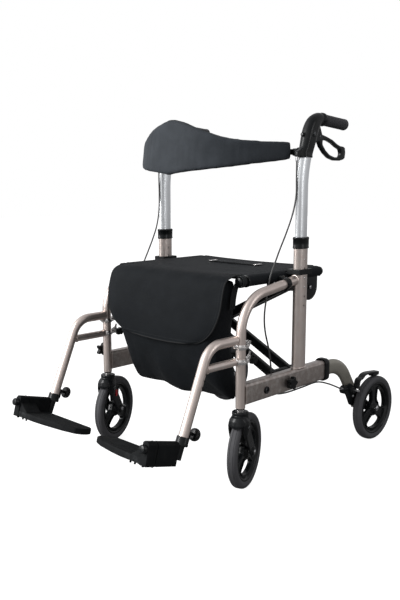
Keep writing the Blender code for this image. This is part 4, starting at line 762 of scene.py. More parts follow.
def put(name, shape, material, body, hand=1, turn=None, replaces=(), sharp=35.0, solid=True):
    """Mirror, turn and move a drawn shape to its place in the frame."""
    bmesh.ops.remove_doubles(shape, verts=shape.verts, dist=2e-6)
    if hand < 0:
        bmesh.ops.scale(shape, verts=shape.verts, vec=(-1, 1, 1))
        bmesh.ops.reverse_faces(shape, faces=shape.faces)
    if turn is not None:
        bmesh.ops.transform(shape, matrix=turn, verts=shape.verts)
    if solid:
        bmesh.ops.recalc_face_normals(shape, faces=shape.faces)
    bmesh.ops.translate(shape, verts=shape.verts, vec=SHIFT)
    mesh = bpy.data.meshes.new(name)
    shape.to_mesh(mesh)
    shape.free()
    return show(name, mesh, material, body, replaces, sharp)


def thread_map(piece, place):
    """A UV map in metres along the threads, from each vertex's place in the drawing and its normal."""
    mesh = piece.data
    layer = mesh.uv_layers.get("threads") or mesh.uv_layers.new(name="threads")
    places = [place(v.co - SHIFT, v.normal) for v in mesh.vertices]
    for loop in mesh.loops:
        layer.data[loop.index].uv = places[loop.vertex_index]
    return piece


# Geometry node trees

def bent_tube_tree():
    """Tube of rounded section along corners that it rounds to a bend, with a row of drilled holes."""
    t = shape_tree("bent_tube", ("Width", FLOAT, 0.03), ("Height", FLOAT, 0.05), ("Corner", FLOAT, 0.015),
                   ("Oval", FLOAT, 0.0), ("Bend", FLOAT, 0.1), ("Wall", FLOAT, 0.002), ("Hole Radius", FLOAT, 0.003),
                   ("Hole Count", INT, 0), ("Hole Start", VECTOR, None), ("Hole Step", VECTOR, None))
    if not t:
        return
    bent = t.add("GeometryNodeFilletCurve", {"Curve": t.start["Geometry"], "Count": 20, "Radius": t.start["Bend"],
                                             "Limit Radius": True}, mode="POLY")
    level = t.add("GeometryNodeSetCurveNormal", {"Curve": bent, "Normal": X}, mode="FREE")
    tangent = t.add("GeometryNodeInputTangent")
    meshes = []
    for inside in (False, True):
        spine = level
        less = t.math("MULTIPLY", t.start["Wall"], 2.0 if inside else 0.0)
        if inside:
            for first, way in ((1, -0.002), (0, 0.002)):
                end = t.add("GeometryNodeCurveEndpointSelection", {"Start Size": first, "End Size": 1 - first})
                step = t.add("ShaderNodeVectorMath", {0: tangent, "Scale": way}, operation="SCALE")
                spine = t.add("GeometryNodeSetPosition", {"Geometry": spine, "Selection": end,
                                                          "Offset": step})
        width, height = t.math("SUBTRACT", t.start["Width"], less), t.math("SUBTRACT", t.start["Height"], less)
        section = t.add("GeometryNodeCurvePrimitiveQuadrilateral", {"Width": width, "Height": height})
        corner = t.math("SUBTRACT", t.start["Corner"], t.math("MULTIPLY", less, 0.5))
        soft = t.add("GeometryNodeFilletCurve", {"Curve": section, "Count": 9, "Radius": corner,
                                                 "Limit Radius": True}, mode="POLY")
        fine = t.add("GeometryNodeSubdivideCurve", {"Curve": soft, "Cuts": 1})
        place = t.add("ShaderNodeSeparateXYZ", {0: t.add("GeometryNodeInputPosition")}).outputs
        share = t.math("DIVIDE", place[1], t.math("MULTIPLY", height, 0.5))
        reach = t.math("SQRT", t.math("SUBTRACT", 1.0, t.math("MULTIPLY", share, share), clamp=True))
        wide = t.math("MULTIPLY", t.math("MULTIPLY", reach, t.math("MULTIPLY", width, 0.5)), t.math("SIGN", place[0]))
        level_x = t.math("MULTIPLY_ADD", t.math("SUBTRACT", wide, place[0]), t.start["Oval"], place[0])
        moved = t.add("ShaderNodeCombineXYZ", {0: level_x, 1: place[1]})
        shaped = t.add("GeometryNodeSetPosition", {"Geometry": fine, "Position": moved})
        skin = t.add("GeometryNodeCurveToMesh", {"Curve": spine, "Profile Curve": shaped, "Fill Caps": True})
        meshes.append(t.add("GeometryNodeMergeByDistance", {"Geometry": skin, "Distance": 1e-6}))
    row = t.add("GeometryNodeMeshLine", {"Count": t.start["Hole Count"], "Start Location": t.start["Hole Start"],
                                         "Offset": t.start["Hole Step"]}, mode="OFFSET")
    drill = t.add("GeometryNodeMeshCylinder", {"Vertices": 20, "Radius": t.start["Hole Radius"], "Depth": 0.2})
    drills = t.add("GeometryNodeInstanceOnPoints", {"Points": row, "Instance": drill,
                                                    "Rotation": (0.0, math.pi / 2, 0.0)})
    holes = t.add("GeometryNodeRealizeInstances", {"Geometry": drills})
    drilled = t.add("GeometryNodeMeshBoolean", {"Mesh 1": meshes[0], "Mesh 2": meshes[1]},
                    operation="DIFFERENCE", solver="EXACT")
    t.link(holes, drilled.inputs["Mesh 2"])
    t.give_shape(drilled)


def screw_tree():
    """A domed head with a hexagon socket at each point, turned along the point's own way."""
    t = shape_tree("screw_heads", ("Radius", FLOAT, 0.004), ("Height", FLOAT, 0.003), ("Socket", FLOAT, 0.45))
    if not t:
        return
    height, radius = t.start["Height"], t.start["Radius"]
    washer = t.add("GeometryNodeMeshCylinder", {"Vertices": 32, "Radius": t.math("MULTIPLY", radius, 1.25),
                                                "Depth": t.math("MULTIPLY", height, 0.5)})
    dome = t.add("GeometryNodeMeshUVSphere", {"Segments": 32, "Rings": 16, "Radius": radius})
    flat = t.add("ShaderNodeCombineXYZ", {0: 1.0, 1: 1.0, 2: t.math("DIVIDE", height, radius)})
    dome = t.add("GeometryNodeTransform", {"Geometry": dome, "Scale": flat})
    recess = t.add("GeometryNodeMeshCylinder",
                   {"Vertices": 6, "Radius": t.math("MULTIPLY", radius, t.start["Socket"]),
                                                "Depth": t.math("MULTIPLY", height, 1.2)})
    lift = t.add("ShaderNodeCombineXYZ", {2: height})
    recess = t.add("GeometryNodeTransform", {"Geometry": recess, "Translation": lift})
    head = t.add("GeometryNodeMeshBoolean", {"Mesh 1": dome, "Mesh 2": recess},
                 operation="DIFFERENCE", solver="EXACT")
    both = t.add("GeometryNodeJoinGeometry", {0: washer})
    t.link(head, both.inputs[0])
    way = t.add("GeometryNodeInputNamedAttribute", {"Name": "way"}, data_type="FLOAT_VECTOR")
    turn = t.add("FunctionNodeAlignRotationToVector", {"Vector": way}, axis="Z")
    heads = t.add("GeometryNodeInstanceOnPoints", {"Points": t.start["Geometry"], "Instance": both,
                                                   "Rotation": turn})
    t.give_shape(heads)


def stitch_tree():
    """Short threads laid end to end along a seam line."""
    t = shape_tree("stitches", ("Pitch", FLOAT, 0.004), ("Length", FLOAT, 0.0026), ("Thickness", FLOAT, 0.0007))
    if not t:
        return
    spaced = t.add("GeometryNodeResampleCurve", {"Curve": t.start["Geometry"], "Length": t.start["Pitch"]},
                   mode="LENGTH")
    knot = t.add("GeometryNodeMeshUVSphere", {"Segments": 6, "Rings": 5, "Radius": 0.5})
    size = t.add("ShaderNodeCombineXYZ", {0: t.start["Thickness"], 1: t.start["Thickness"], 2: t.start["Length"]})
    knot = t.add("GeometryNodeTransform", {"Geometry": knot, "Scale": size})
    tangent = t.add("GeometryNodeInputTangent")
    turn = t.add("FunctionNodeAlignRotationToVector", {"Vector": tangent}, axis="Z")
    row = t.add("GeometryNodeInstanceOnPoints", {"Points": spaced, "Instance": knot,
                                                 "Rotation": turn})
    t.give_shape(row)


def rib_tree():
    """Low rounded ribs in a row, as on a tread or a grip."""
    t = shape_tree("tread_ribs", ("Length", FLOAT, 0.05), ("Width", FLOAT, 0.003), ("Height", FLOAT, 0.0016))
    if not t:
        return
    rib = t.add("GeometryNodeMeshUVSphere", {"Segments": 12, "Rings": 8, "Radius": 0.5})
    size = t.add("ShaderNodeCombineXYZ", {0: t.start["Length"], 1: t.start["Width"], 2: t.start["Height"]})
    rib = t.add("GeometryNodeTransform", {"Geometry": rib, "Scale": size})
    way = t.add("GeometryNodeInputNamedAttribute", {"Name": "way"}, data_type="FLOAT_VECTOR")
    turn = t.add("FunctionNodeAlignRotationToVector", {"Vector": way}, axis="Z")
    row = t.add("GeometryNodeInstanceOnPoints", {"Points": t.start["Geometry"], "Instance": rib,
                                                 "Rotation": turn})
    t.give_shape(row)


def grown(name, data, tree, inputs):
    """Run a tree on a curve or mesh and keep its result as a plain shape."""
    holder = bpy.data.objects.new(name, data)
    modifier = holder.modifiers.new(tree, "NODES")
    modifier.node_group = bpy.data.node_groups[tree]
    for item in modifier.node_group.interface.items_tree:
        if item.in_out == "INPUT" and item.name in inputs:
            modifier[item.identifier] = inputs[item.name]
    bpy.context.scene.collection.objects.link(holder)
    mesh = bpy.data.meshes.new_from_object(holder.evaluated_get(bpy.context.evaluated_depsgraph_get()))
    bpy.data.objects.remove(holder)
    shape = bmesh.new()
    shape.from_mesh(mesh)
    bpy.data.meshes.remove(mesh)
    return shape


def line_data(*routes):
    """Curve data with one open line for each route."""
    data = bpy.data.curves.new("line", "CURVE")
    data.dimensions = "3D"
    for route in routes:
        spline = data.splines.new("POLY")
        spline.points.add(len(route) - 1)
        for point, place in zip(spline.points, route):
            point.co = (*place, 1)
    return data


def tube(corners, width, height, corner, bend, material, wall=None, holes=None, oval_share=0.0):
    """Bent tube through the given corners, drilled across where `holes` says (start, step, count, radius)."""
    start, step, count, radius = holes or ((0, 0, 0), (0, 0, 0), 0, 0.003)
    return grown("tube", line_data(corners), "bent_tube",
                 {"Width": width, "Height": height, "Corner": corner, "Oval": oval_share, "Bend": bend,
                  "Wall": settings().frame.wall if wall is None else wall, "Hole Radius": radius,
                  "Hole Count": count, "Hole Start": tuple(start), "Hole Step": tuple(step),
                  "Material": finish(material)})


def points_with_way(places):
    """Mesh of loose points, each with its own way out."""
    data = bpy.data.meshes.new("places")
    data.from_pydata([tuple(p) for p, _ in places], [], [])
    way = data.attributes.new("way", "FLOAT_VECTOR", "POINT")
    for item, (_, direction) in zip(way.data, places):
        item.vector = direction
    return data


def screws(places, radius, height, material="zinc_steel", socket=0.45):
    """Screw heads at (place, way out) pairs."""
    return grown("screws", points_with_way(places), "screw_heads",
                 {"Radius": radius, "Height": height, "Socket": socket, "Material": finish(material)})


def stitches(routes, material="dark_thread", length=0.0027, thickness=0.0008):
    return grown("stitches", line_data(*routes), "stitches",
                 {"Pitch": settings().soft.stitch, "Length": length, "Thickness": thickness,
                  "Material": finish(material)})


# Frame

def front_corners():
    """Corners of the front tube's centre line, before they are bent."""
    slope = math.radians(8)
    bend = settings().frame.tube_bend
    corner_z = 0.416 + bend * math.tan((math.pi / 2 - slope) / 2)
    end_y = POST_Y - 0.025
    return [(SIDE_X, FRONT_Y, 0.225), (SIDE_X, FRONT_Y, corner_z),
            (SIDE_X, end_y, corner_z + (end_y - FRONT_Y) * math.tan(slope))]


def make_frame(side, hand):
    body = f"{side}_frame"
    s = settings().frame
    r = s.tube_radius
    shape = tube(front_corners(), 2 * r, 2 * r, r, s.tube_bend, "champagne_lacquer")
    put(f"{side}_front_tube_lacquered", shape, "champagne_lacquer", body, hand, None, [f"{side}_front_tube"])
    beam_top = BEAM_Z + s.beam_height / 2
    holes = ((SIDE_X, POST_Y, s.post_top - HOLE_DROP), (0, 0, -HOLE_STEP), s.hole_count, s.hole_radius)
    shape = tube([(SIDE_X, POST_Y, beam_top), (SIDE_X, POST_Y, s.post_top)], s.post_width, s.post_depth,
                 s.post_width / 2, 0.01, "champagne_lacquer", holes=holes, oval_share=1.0)
    put(f"{side}_post_drilled", shape, "champagne_lacquer", body, hand, None, [f"{side}_rear_post"])
    shape = tube([(SIDE_X, FRONT_Y + 0.004, BEAM_Z), (SIDE_X, 0.114, BEAM_Z)], s.beam_width, s.beam_height,
                 0.009, 0.01, "champagne_lacquer")
    # The beam takes the darker copy of the lacquer: painted shade on its outer face.
    put(f"{side}_beam_lacquered", shape, "beam_lacquer", body, hand, None, [f"{side}_lower_beam"])
    fall = math.radians(56)
    leg_bend = 0.105
    bend_back = leg_bend * math.tan(fall / 2)
    corner = Vector((SIDE_X, 0.150 + bend_back, BEAM_Z))
    end = corner + Vector((0, math.cos(fall), -math.sin(fall))) * (bend_back + 0.114)
    shape = tube([(SIDE_X, 0.050, BEAM_Z), corner, end], 0.022, 0.044, 0.011, leg_bend, "bronze_lacquer",
                 oval_share=0.8)
    put(f"{side}_leg_lacquered", shape, "bronze_lacquer", body, hand, None, [f"{side}_rear_leg"])

    # Weld beads where the tubes meet
    ring = [*ellipse(s.post_depth + 0.001, s.post_width + 0.001, 40), (s.post_width / 2, 0.001)]
    beads = [sweep([(SIDE_X + u, POST_Y + v, beam_top + 0.0006) for u, v in ring], circle(0.0017, 8), Z)]
    _, end_y, end_z = front_corners()[2]
    ring = arc(r + 0.0005, [k * math.pi / 18 for k in range(37)], (SIDE_X, end_z))
    beads.append(sweep([(u, end_y - 0.0005, v) for u, v in ring], circle(0.0016, 8), Y))
    for sign in (1, -1):
        top = [(SIDE_X + sign * s.beam_width / 2 * 0.92, FRONT_Y + 0.0075, BEAM_Z + h)
               for h in (-0.024, -0.012, 0.0, 0.012, 0.024)]
        beads.append(cord_shape(top, 0.0016, 8))
    put(f"{side}_weld_beads", join(*beads), "champagne_lacquer", body, hand)


def make_beam_fittings(side, hand):
    """Bolt, cup and hand knob on the beam's outer face, and the buttons in the post's holes."""
    body = f"{side}_frame"
    s = settings().frame
    face = SIDE_X + s.beam_width / 2
    bolt_y, bolt_z, knob_y, knob_z = -0.163, BEAM_Z - 0.003, -0.065, BEAM_Z - 0.002
    shape = lathe(round_corners([(0.0048, 0), (0.0100, 0), (0.0096, 0.0034), (0.0080, 0.0044), (0.0048, 0.0030)],
                                0.0006, 3),
                  (face - 0.0002, bolt_y, bolt_z), X)
    put(f"{side}_beam_bolt_cup", shape, "black_gloss_moulding", body, hand)
    shape = screws([((face + 0.0006, bolt_y, bolt_z), X)], 0.0044, 0.0016, "dark_steel", 0.5)
    put(f"{side}_beam_bolt", shape, "dark_steel", body, hand)
    buttons = screws([((SIDE_X + s.post_width / 2 - 0.0008, POST_Y, s.post_top - HOLE_DROP - HOLE_STEP * k), X)
                      for k in (0, 2, 3)],
                     0.0026, 0.0016, "polished_chrome", 0.05)
    put(f"{side}_post_buttons", buttons, "polished_chrome", body, hand)
    knob = plate(lobed(0.0185, 0.0132, 5), face + 0.004, 0.0135, 0.0024, origin=(0, knob_y, knob_z), steps=4)
    stem = bar((face - 0.001, knob_y, knob_z), (face + 0.006, knob_y, knob_z), 0.0075)
    cap = lathe([(0, 0.0012), (0.0030, 0.0011), (0.0056, 0.0006), (0.0066, 0), (0, -0.001)],
                (face + 0.0163, knob_y, knob_z), X)
    put(f"{side}_beam_knob", join(knob, stem, cap), "black_gloss_moulding", body, hand)


def make_mouths(side, hand):
    """Black mouths of the tubes, saddle, bracket and bush. Mouths are drawn as (growth, place) pairs."""
    body = f"{side}_frame"
    s = settings().frame
    top = s.post_top + 0.008
    low = s.post_top - 0.023
    stack = [(0.0022, low), (0.0031, low + 0.0010), (0.0031, low + 0.0045), (0.0026, low + 0.0055),
             (0.0028, top - 0.007), (0.0034, top - 0.006), (0.0034, top - 0.0022), (0.0026, top - 0.0004),
             (0.0016, top), (-0.0028, top), (-0.0028, s.post_top - 0.002), (0.0004, s.post_top - 0.0022),
             (0.0004, low)]
    rings = [[(SIDE_X + u, POST_Y + v, z) for u, v in ellipse(s.post_depth + 2 * g, s.post_width + 2 * g)]
             for g, z in stack]
    shape = loft(rings + [rings[0]], False)
    put(f"{side}_post_mouth", shape, "black_gloss_moulding", body, hand, None, [f"{side}_post_collar"])
    stack = [(0.0040, 0.104), (0.0046, 0.1052), (0.0050, 0.112), (0.0046, 0.1200), (0.0036, 0.1236), (0.0012, 0.1244)]
    rings = [[(SIDE_X + u, y, BEAM_Z + v)
              for u, v in box_outline(s.beam_width + 2 * g, s.beam_height + 2 * g, 0.009 + g)]
             for g, y in stack]
    shape = loft(rings)
    put(f"{side}_leg_mouth", shape, "black_moulding", body, hand, None, [f"{side}_leg_collar"])
    shape = cast(node_shape(f"{side}_seat_saddle"), 0.0010, 4)
    put(f"{side}_saddle_moulded", shape, "black_moulding", body, 1, None, [f"{side}_seat_saddle"])
    shape = cast(node_shape(f"{side}_beam_bracket"), 0.0009, 2)
    put(f"{side}_bracket_coated", shape, "powder_coat", body, 1, None, [f"{side}_beam_bracket"])
    shape = lathe(round_corners([(0.0062, 0.2206), (0.0104, 0.2206), (0.0124, 0.2252), (0.0062, 0.2252)], 0.0005, 3),
                  (SIDE_X, FRONT_Y, 0))
    put(f"{side}_front_tube_bush", shape, "black_moulding", body, hand)


def make_rail_rest(side, hand):
    """Clip on the front tube that the seat rail comes to rest on, and the right side's star knob."""
    body = f"{side}_frame"
    r = settings().frame.tube_radius
    bend_end, run_end = front_corners()[1:]
    rest_y = -0.068
    rest_z = bend_end[2] + (rest_y - FRONT_Y) / (run_end[1] - FRONT_Y) * (run_end[2] - bend_end[2])
    slope_way = Vector((0, run_end[1] - FRONT_Y, run_end[2] - bend_end[2])).normalized()
    start = Vector((SIDE_X, rest_y, rest_z)) - slope_way * 0.008
    section = [(r + 0.0002, 0), (r + 0.0034, 0), (r + 0.0034, 0.016), (r + 0.0002, 0.016)]
    ring = lathe(round_corners(section, 0.0008, 3), start, slope_way, 56)
    rest = plate(round_corners([(SIDE_X - 0.004, rest_z + r), (SIDE_X - r - 0.002, rest_z + 0.002),
                                (PIVOT_X + 0.004, RAIL_Z - 0.030), (PIVOT_X - 0.004, RAIL_Z - 0.024),
                                (PIVOT_X + 0.002, RAIL_Z - 0.012), (PIVOT_X + 0.016, RAIL_Z + 0.004),
                                (SIDE_X - 0.010, RAIL_Z + 0.006)], 0.0025, 4), rest_y - 0.0075, 0.015, 0.0012,
                 (X, Z, -Y), (0, 2 * rest_y, 0))
    hollow = bar((PIVOT_X, rest_y - 0.03, RAIL_Z), (PIVOT_X, rest_y + 0.03, RAIL_Z), 0.0162)
    put(f"{side}_rail_rest", join(ring, carve(rest, hollow)), "black_gloss_moulding", body, hand)
    if hand < 0:
        z = BEAM_Z + settings().frame.beam_height / 2 + 0.002
        star = plate(lobed(0.0205, 0.0118, 5), SIDE_X + r + 0.007, 0.013, 0.0026, origin=(0, FRONT_Y, z), steps=4)
        stem = bar((SIDE_X + r - 0.002, FRONT_Y, z), (SIDE_X + r + 0.010, FRONT_Y, z), 0.0055)
        put("right_star_knob", join(star, stem), "black_gloss_moulding", body, hand)


# Wheels

def tyre_shape():
    w = settings().wheel
    half, r, seat = w.width / 2, w.radius, w.seat_radius
    side = [(seat, half * 0.78), (seat + 0.003, half * 0.84), (seat + 0.0065, half * 0.97), (r - 0.0085, half),
            (r - 0.0050, half * 0.93), (r - 0.0022, half * 0.76), (r - 0.0007, half * 0.56),
            (r - 0.0002, half * 0.44), (r - 0.0010, half * 0.40), (r - 0.0010, half * 0.32), (r, half * 0.28)]
    profile = [(p, -h) for p, h in side] + [(p, h) for p, h in reversed(side)]
    profile += [(seat - 0.0005, half * 0.70), (seat - 0.0005, -half * 0.70)]
    return lathe(profile, (0, 0, 0), X, 120)


def window_outline(grow, k, count):
    """Bean-shaped opening in a wheel's web, grown by some amount."""
    middle = -math.pi / 2 + 2 * math.pi * k / count
    far, near, half_angle = 0.064, 0.026, math.radians(44)
    outer, inner = far + grow, near - grow
    spread, less = half_angle + grow / far, half_angle * 0.70 + grow / 0.040
    return (arc(outer, [middle + spread * (-1 + j / 8) for j in range(17)])
            + arc(inner, [middle + less * (1 - j / 4) for j in range(9)]))


def soft_window(grow, k, count):
    """The opening with round corners, found by smoothing its outline."""
    points = [Vector(p) for p in window_outline(grow, k, count)]
    fine = []
    for a, b in zip(points, points[1:] + points[:1]):
        steps = max(1, round((b - a).length / 0.0022))
        fine += [a.lerp(b, j / steps) for j in range(steps)]
    for _ in range(14):
        fine = [(fine[i - 1] + fine[i] * 2 + fine[(i + 1) % len(fine)]) / 4 for i in range(len(fine))]
    return [tuple(p) for p in fine]


def rim_shape():
    w = settings().wheel
    seat = w.seat_radius - 0.0003
    half = w.width / 2 * 0.80
    ring = [(seat, half), (seat - 0.0016, half + 0.0004), (seat - 0.0048, half - 0.0004),
            (seat - 0.0072, half - 0.0030), (seat - 0.0084, 0.0050), (seat - 0.0096, 0.0034), (seat - 0.0118, 0.0030)]
    ring = ring + [(p, -h) for p, h in reversed(ring)]
    web = plate(circle(seat - 0.0100, 120), -0.0035, 0.007, 0.0012,
                holes=[soft_window(0, k, w.windows) for k in range(w.windows)])
    frames = [plate(soft_window(0.0034, k, w.windows), -0.0072, 0.0144, 0.0012, holes=[soft_window(0, k, w.windows)])
              for k in range(w.windows)]
    hub = [(0.0043, 0.0137), (0.0118, 0.0137), (0.0128, 0.0128), (0.0150, 0.0100), (0.0168, 0.0060), (0.0200, 0.0036),
           (0.0215, 0.0030)]
    hub = hub + [(p, -h) for p, h in reversed(hub)]
    ring_shape = lathe(ring, (0, 0, 0), X, 120)
    return join(ring_shape, web, *frames, lathe(hub, (0, 0, 0), X, 64))


def caster_place(hand):
    return Matrix.Translation((hand * SIDE_X, FRONT_Y, 0)) @ Matrix.Rotation(CASTER_TURN, 4, "Z")


def make_wheels(side, hand):
    spin_rear = Matrix.Translation((hand * REAR_WHEEL.x, REAR_WHEEL.y, REAR_WHEEL.z))
    spin_front = caster_place(hand) @ Matrix.Translation((0, -CASTER_TRAIL, REAR_WHEEL.z))
    for end, place in (("rear", spin_rear), ("front", spin_front)):
        body = f"{side}_{end}_wheel"
        put(f"{side}_{end}_tyre_rubber", tyre_shape(), "tyre_rubber", body, hand, place, [f"{side}_{end}_tyre"],
            60)
        put(f"{side}_{end}_rim_moulded", rim_shape(), "rim_moulding", body, hand, place, [f"{side}_{end}_rim"],
            40)


def fork_outline():
    """Side view of a fork leg: round at the crown and at the axle."""
    spots = [(0.004, 0.190, 0.0165), (0.004, 0.176, 0.0175), (-0.004, 0.150, 0.0165),
             (-CASTER_TRAIL, REAR_WHEEL.z, 0.0145)]
    left, right = [], []
    for i, (y, z, r) in enumerate(spots):
        ahead = spots[min(i + 1, len(spots) - 1)]
        behind = spots[max(i - 1, 0)]
        way = Vector((ahead[0] - behind[0], ahead[1] - behind[1])).normalized()
        across = Vector((-way.y, way.x))
        left.append(Vector((y, z)) + across * r)
        right.append(Vector((y, z)) - across * r)
    y, z, r = spots[-1]
    way = Vector((y - spots[-2][0], z - spots[-2][1])).normalized()
    angle = math.atan2(way.y, way.x)
    tip = arc(r, [angle + math.radians(d) for d in (60, 30, 0, -30, -60)], (y, z))
    route = smooth_route([Vector((*p, 0)) for p in left + tip + right[::-1]], 4)
    return [(p.x, p.y) for p in route]


def make_caster(side, hand):
    body = f"{side}_caster"
    swivel = caster_place(hand)
    inner, thick = 0.0195, 0.0055
    crown = lathe([(0, 0.2165), (0.0150, 0.2165), (0.0205, 0.2160), (0.0218, 0.2142), (0.0218, 0.2085),
                   (0.0211, 0.2066), (0.0218, 0.2030), (0.0238, 0.1960), (0.0238, 0.1880), (0, 0.1860)], (0, 0, 0), Z,
                  48)
    bulb = lathe([(0, 0.2080), (0.0120, 0.2075), (0.0200, 0.2040), (0.0252, 0.1960), (0.0276, 0.1850),
                  (0.0280, 0.1720), (0.0262, 0.1600), (0.0220, 0.1510), (0.0140, 0.1455), (0, 0.1435)],
                 (0, 0.0080, 0), Z, 48)
    legs = [plate(fork_outline(), start, thick, 0.0016) for start in (inner, -inner - thick)]
    collars = [lathe(round_corners([(0.0045, 0), (0.0122, 0), (0.0104, 0.0042), (0.0045, 0.0042)], 0.0008, 3),
                     (sign * (inner + thick - 0.001), -CASTER_TRAIL, REAR_WHEEL.z), X * sign, 40) for sign in (1, -1)]
    hollow = settings().wheel.radius + 0.0055
    arch = lathe([(0, -inner), (hollow, -inner), (hollow, inner), (0, inner)],
                 (0, -CASTER_TRAIL, REAR_WHEEL.z), X, 96)
    body_shape = carve(cast(join(crown, bulb, *legs), 0.0011, 4), arch)
    put(f"{side}_fork_moulded", join(body_shape, *collars), "black_gloss_moulding", body, hand, swivel,
        [f"{side}_caster_fork"], 40)
    reach = inner + thick + 0.0030
    axle = bar((-reach, -CASTER_TRAIL, REAR_WHEEL.z), (reach, -CASTER_TRAIL, REAR_WHEEL.z), 0.0040)
    heads = screws([((sign * reach, -CASTER_TRAIL, REAR_WHEEL.z), X * sign) for sign in (1, -1)], 0.0046, 0.0030)
    spacers = [lathe([(0.0042, 0), (0.0078, 0), (0.0078, 0.0054), (0.0042, 0.0054)],
                     (sign * 0.0139, -CASTER_TRAIL, REAR_WHEEL.z), X * sign, 32) for sign in (1, -1)]
    bolts = screws([((sign * 0.0276, 0.0080, 0.1780), X * sign) for sign in (1, -1)], 0.0046, 0.0020, "dark_steel",
                   0.6)
    put(f"{side}_caster_bolts", bolts, "dark_steel", body, hand, swivel)
    put(f"{side}_caster_axle", join(axle, heads, *spacers), "zinc_steel", body, hand, swivel)
    spacer = lathe(round_corners([(0.0045, 0.2160), (0.0098, 0.2160), (0.0098, 0.2204), (0.0085, 0.2210),
                                  (0.0085, 0.2222), (0.0045, 0.2222)], 0.0006, 3), (0, 0, 0), Z, 48)
    stem = bar((0, 0, 0.2160), (0, 0, 0.250), 0.0060)
    put(f"{side}_caster_spacer", join(spacer, stem), "polished_chrome", body, hand, swivel)
    if hand < 0:
        glass = plate(box_outline(0.010, 0.020, 0.002), inner + thick, 0.0020, 0.0006, origin=(0, -0.006, 0.158))
        put("right_caster_reflector", glass, "red_reflector", body, hand, swivel)


def hull(points):
    """Convex outline round a set of points."""
    points = sorted(set(points))
    sides = []
    for ordered in (points, points[::-1]):
        side = []
        for p in ordered:
            while len(side) > 1 and ((side[-1][0] - side[-2][0]) * (p[1] - side[-2][1])
                                     <= (side[-1][1] - side[-2][1]) * (p[0] - side[-2][0])):
                side.pop()
            side.append(p)
        sides += side[:-1]
    return sides


def make_brake(side, hand):
    body = f"{side}_frame"
    bracket_x, thick = SIDE_X + 0.0113, 0.0040
    y, z = BRAKE_PIVOT
    spots = ((REAR_WHEEL.y, REAR_WHEEL.z, 0.014), (0.2527, 0.1393, 0.015), (0.2417, 0.1753, 0.018), (y, z, 0.011),
             (0.2220, 0.1795, 0.008))
    outline = hull([p for v, h, r in spots for p in circle(r, 32, (v, h))])
    web = plate(outline, bracket_x, thick, 0.0010)
    hub_face = REAR_WHEEL.x + 0.0137
    stop_way = Vector((0, 0.955, -0.296)).normalized()
    stop_end = Vector(CABLE_ROUTE[-1])
    stop = bar(stop_end, stop_end + stop_way * 0.024, 0.0048)
    nut = bar(stop_end + stop_way * 0.002, stop_end + stop_way * 0.008, 0.0062, 0.0005, 6)
    drum = bar((bracket_x - 0.014, 0.2220, 0.1770), (bracket_x + 0.001, 0.2220, 0.1770), 0.0125, 0.0030)
    put(f"{side}_axle_plate", join(web, stop, nut, drum), "powder_coat", body, hand, None, [f"{side}_axle_bracket"])
    axle = bar((bracket_x - 0.004, REAR_WHEEL.y, REAR_WHEEL.z), (hub_face + 0.003, REAR_WHEEL.y, REAR_WHEEL.z),
               0.0040)
    heads = screws([((hub_face + 0.0016, REAR_WHEEL.y, REAR_WHEEL.z), X),
                    ((bracket_x, REAR_WHEEL.y, REAR_WHEEL.z), -X)],
                   0.0070, 0.0036, socket=0.42)
    spacer = lathe([(0.0042, 0), (0.0080, 0), (0.0080, 0.0042), (0.0042, 0.0042)],
                   (bracket_x + thick, REAR_WHEEL.y, REAR_WHEEL.z), X, 40)
    bolts = screws([((SIDE_X - 0.0112, 0.262, 0.153), -X), ((SIDE_X - 0.0112, 0.246, 0.176), -X),
                    ((bracket_x + thick, 0.262, 0.150), X)], 0.0042, 0.0026)
    pin = bar((bracket_x, y, z), (REAR_WHEEL.x + 0.012, y, z), 0.0030)
    put(f"{side}_rear_axle", join(axle, heads, spacer, bolts, pin), "zinc_steel", body, hand)
    shoe_y, top = REAR_WHEEL.y + 0.002, 0.2125
    path = smooth_route([(REAR_WHEEL.x, y + 0.002, z + 0.006), (REAR_WHEEL.x, y + 0.008, z + 0.030),
                         (REAR_WHEEL.x, y + 0.024, top - 0.003), (REAR_WHEEL.x, y + 0.036, top + 0.004),
                         (REAR_WHEEL.x, y + 0.060, top + 0.006), (REAR_WHEEL.x, shoe_y + 0.012, top)], 5)
    strip = sweep(path, box_outline(0.020, 0.0055, 0.0015, 3))
    eye = lathe([(0.0034, 0), (0.0090, 0), (0.0090, 0.0140), (0.0034, 0.0140)], (bracket_x + 0.0044, y, z), X, 40)
    shoe = plate(round_corners([(shoe_y - 0.020, 0.2036), (shoe_y + 0.014, 0.2036), (shoe_y + 0.014, top),
                                (shoe_y - 0.020, top)],
                               0.0015, 3), REAR_WHEEL.x - 0.009, 0.018, 0.001)
    put(f"{side}_brake_arm_coated", join(strip, eye, shoe), "powder_coat", f"{side}_brake", hand, None,
        [f"{side}_brake_arm"])


# Handles

def handle_corners(top=0.905):
    lean = math.radians(16)
    corner_z = 0.780 + 0.300 * math.tan(lean / 2)
    return [(SIDE_X, POST_Y, 0.440), (SIDE_X, POST_Y, corner_z),
            (SIDE_X, POST_Y + (top - corner_z) * math.tan(lean), top)]


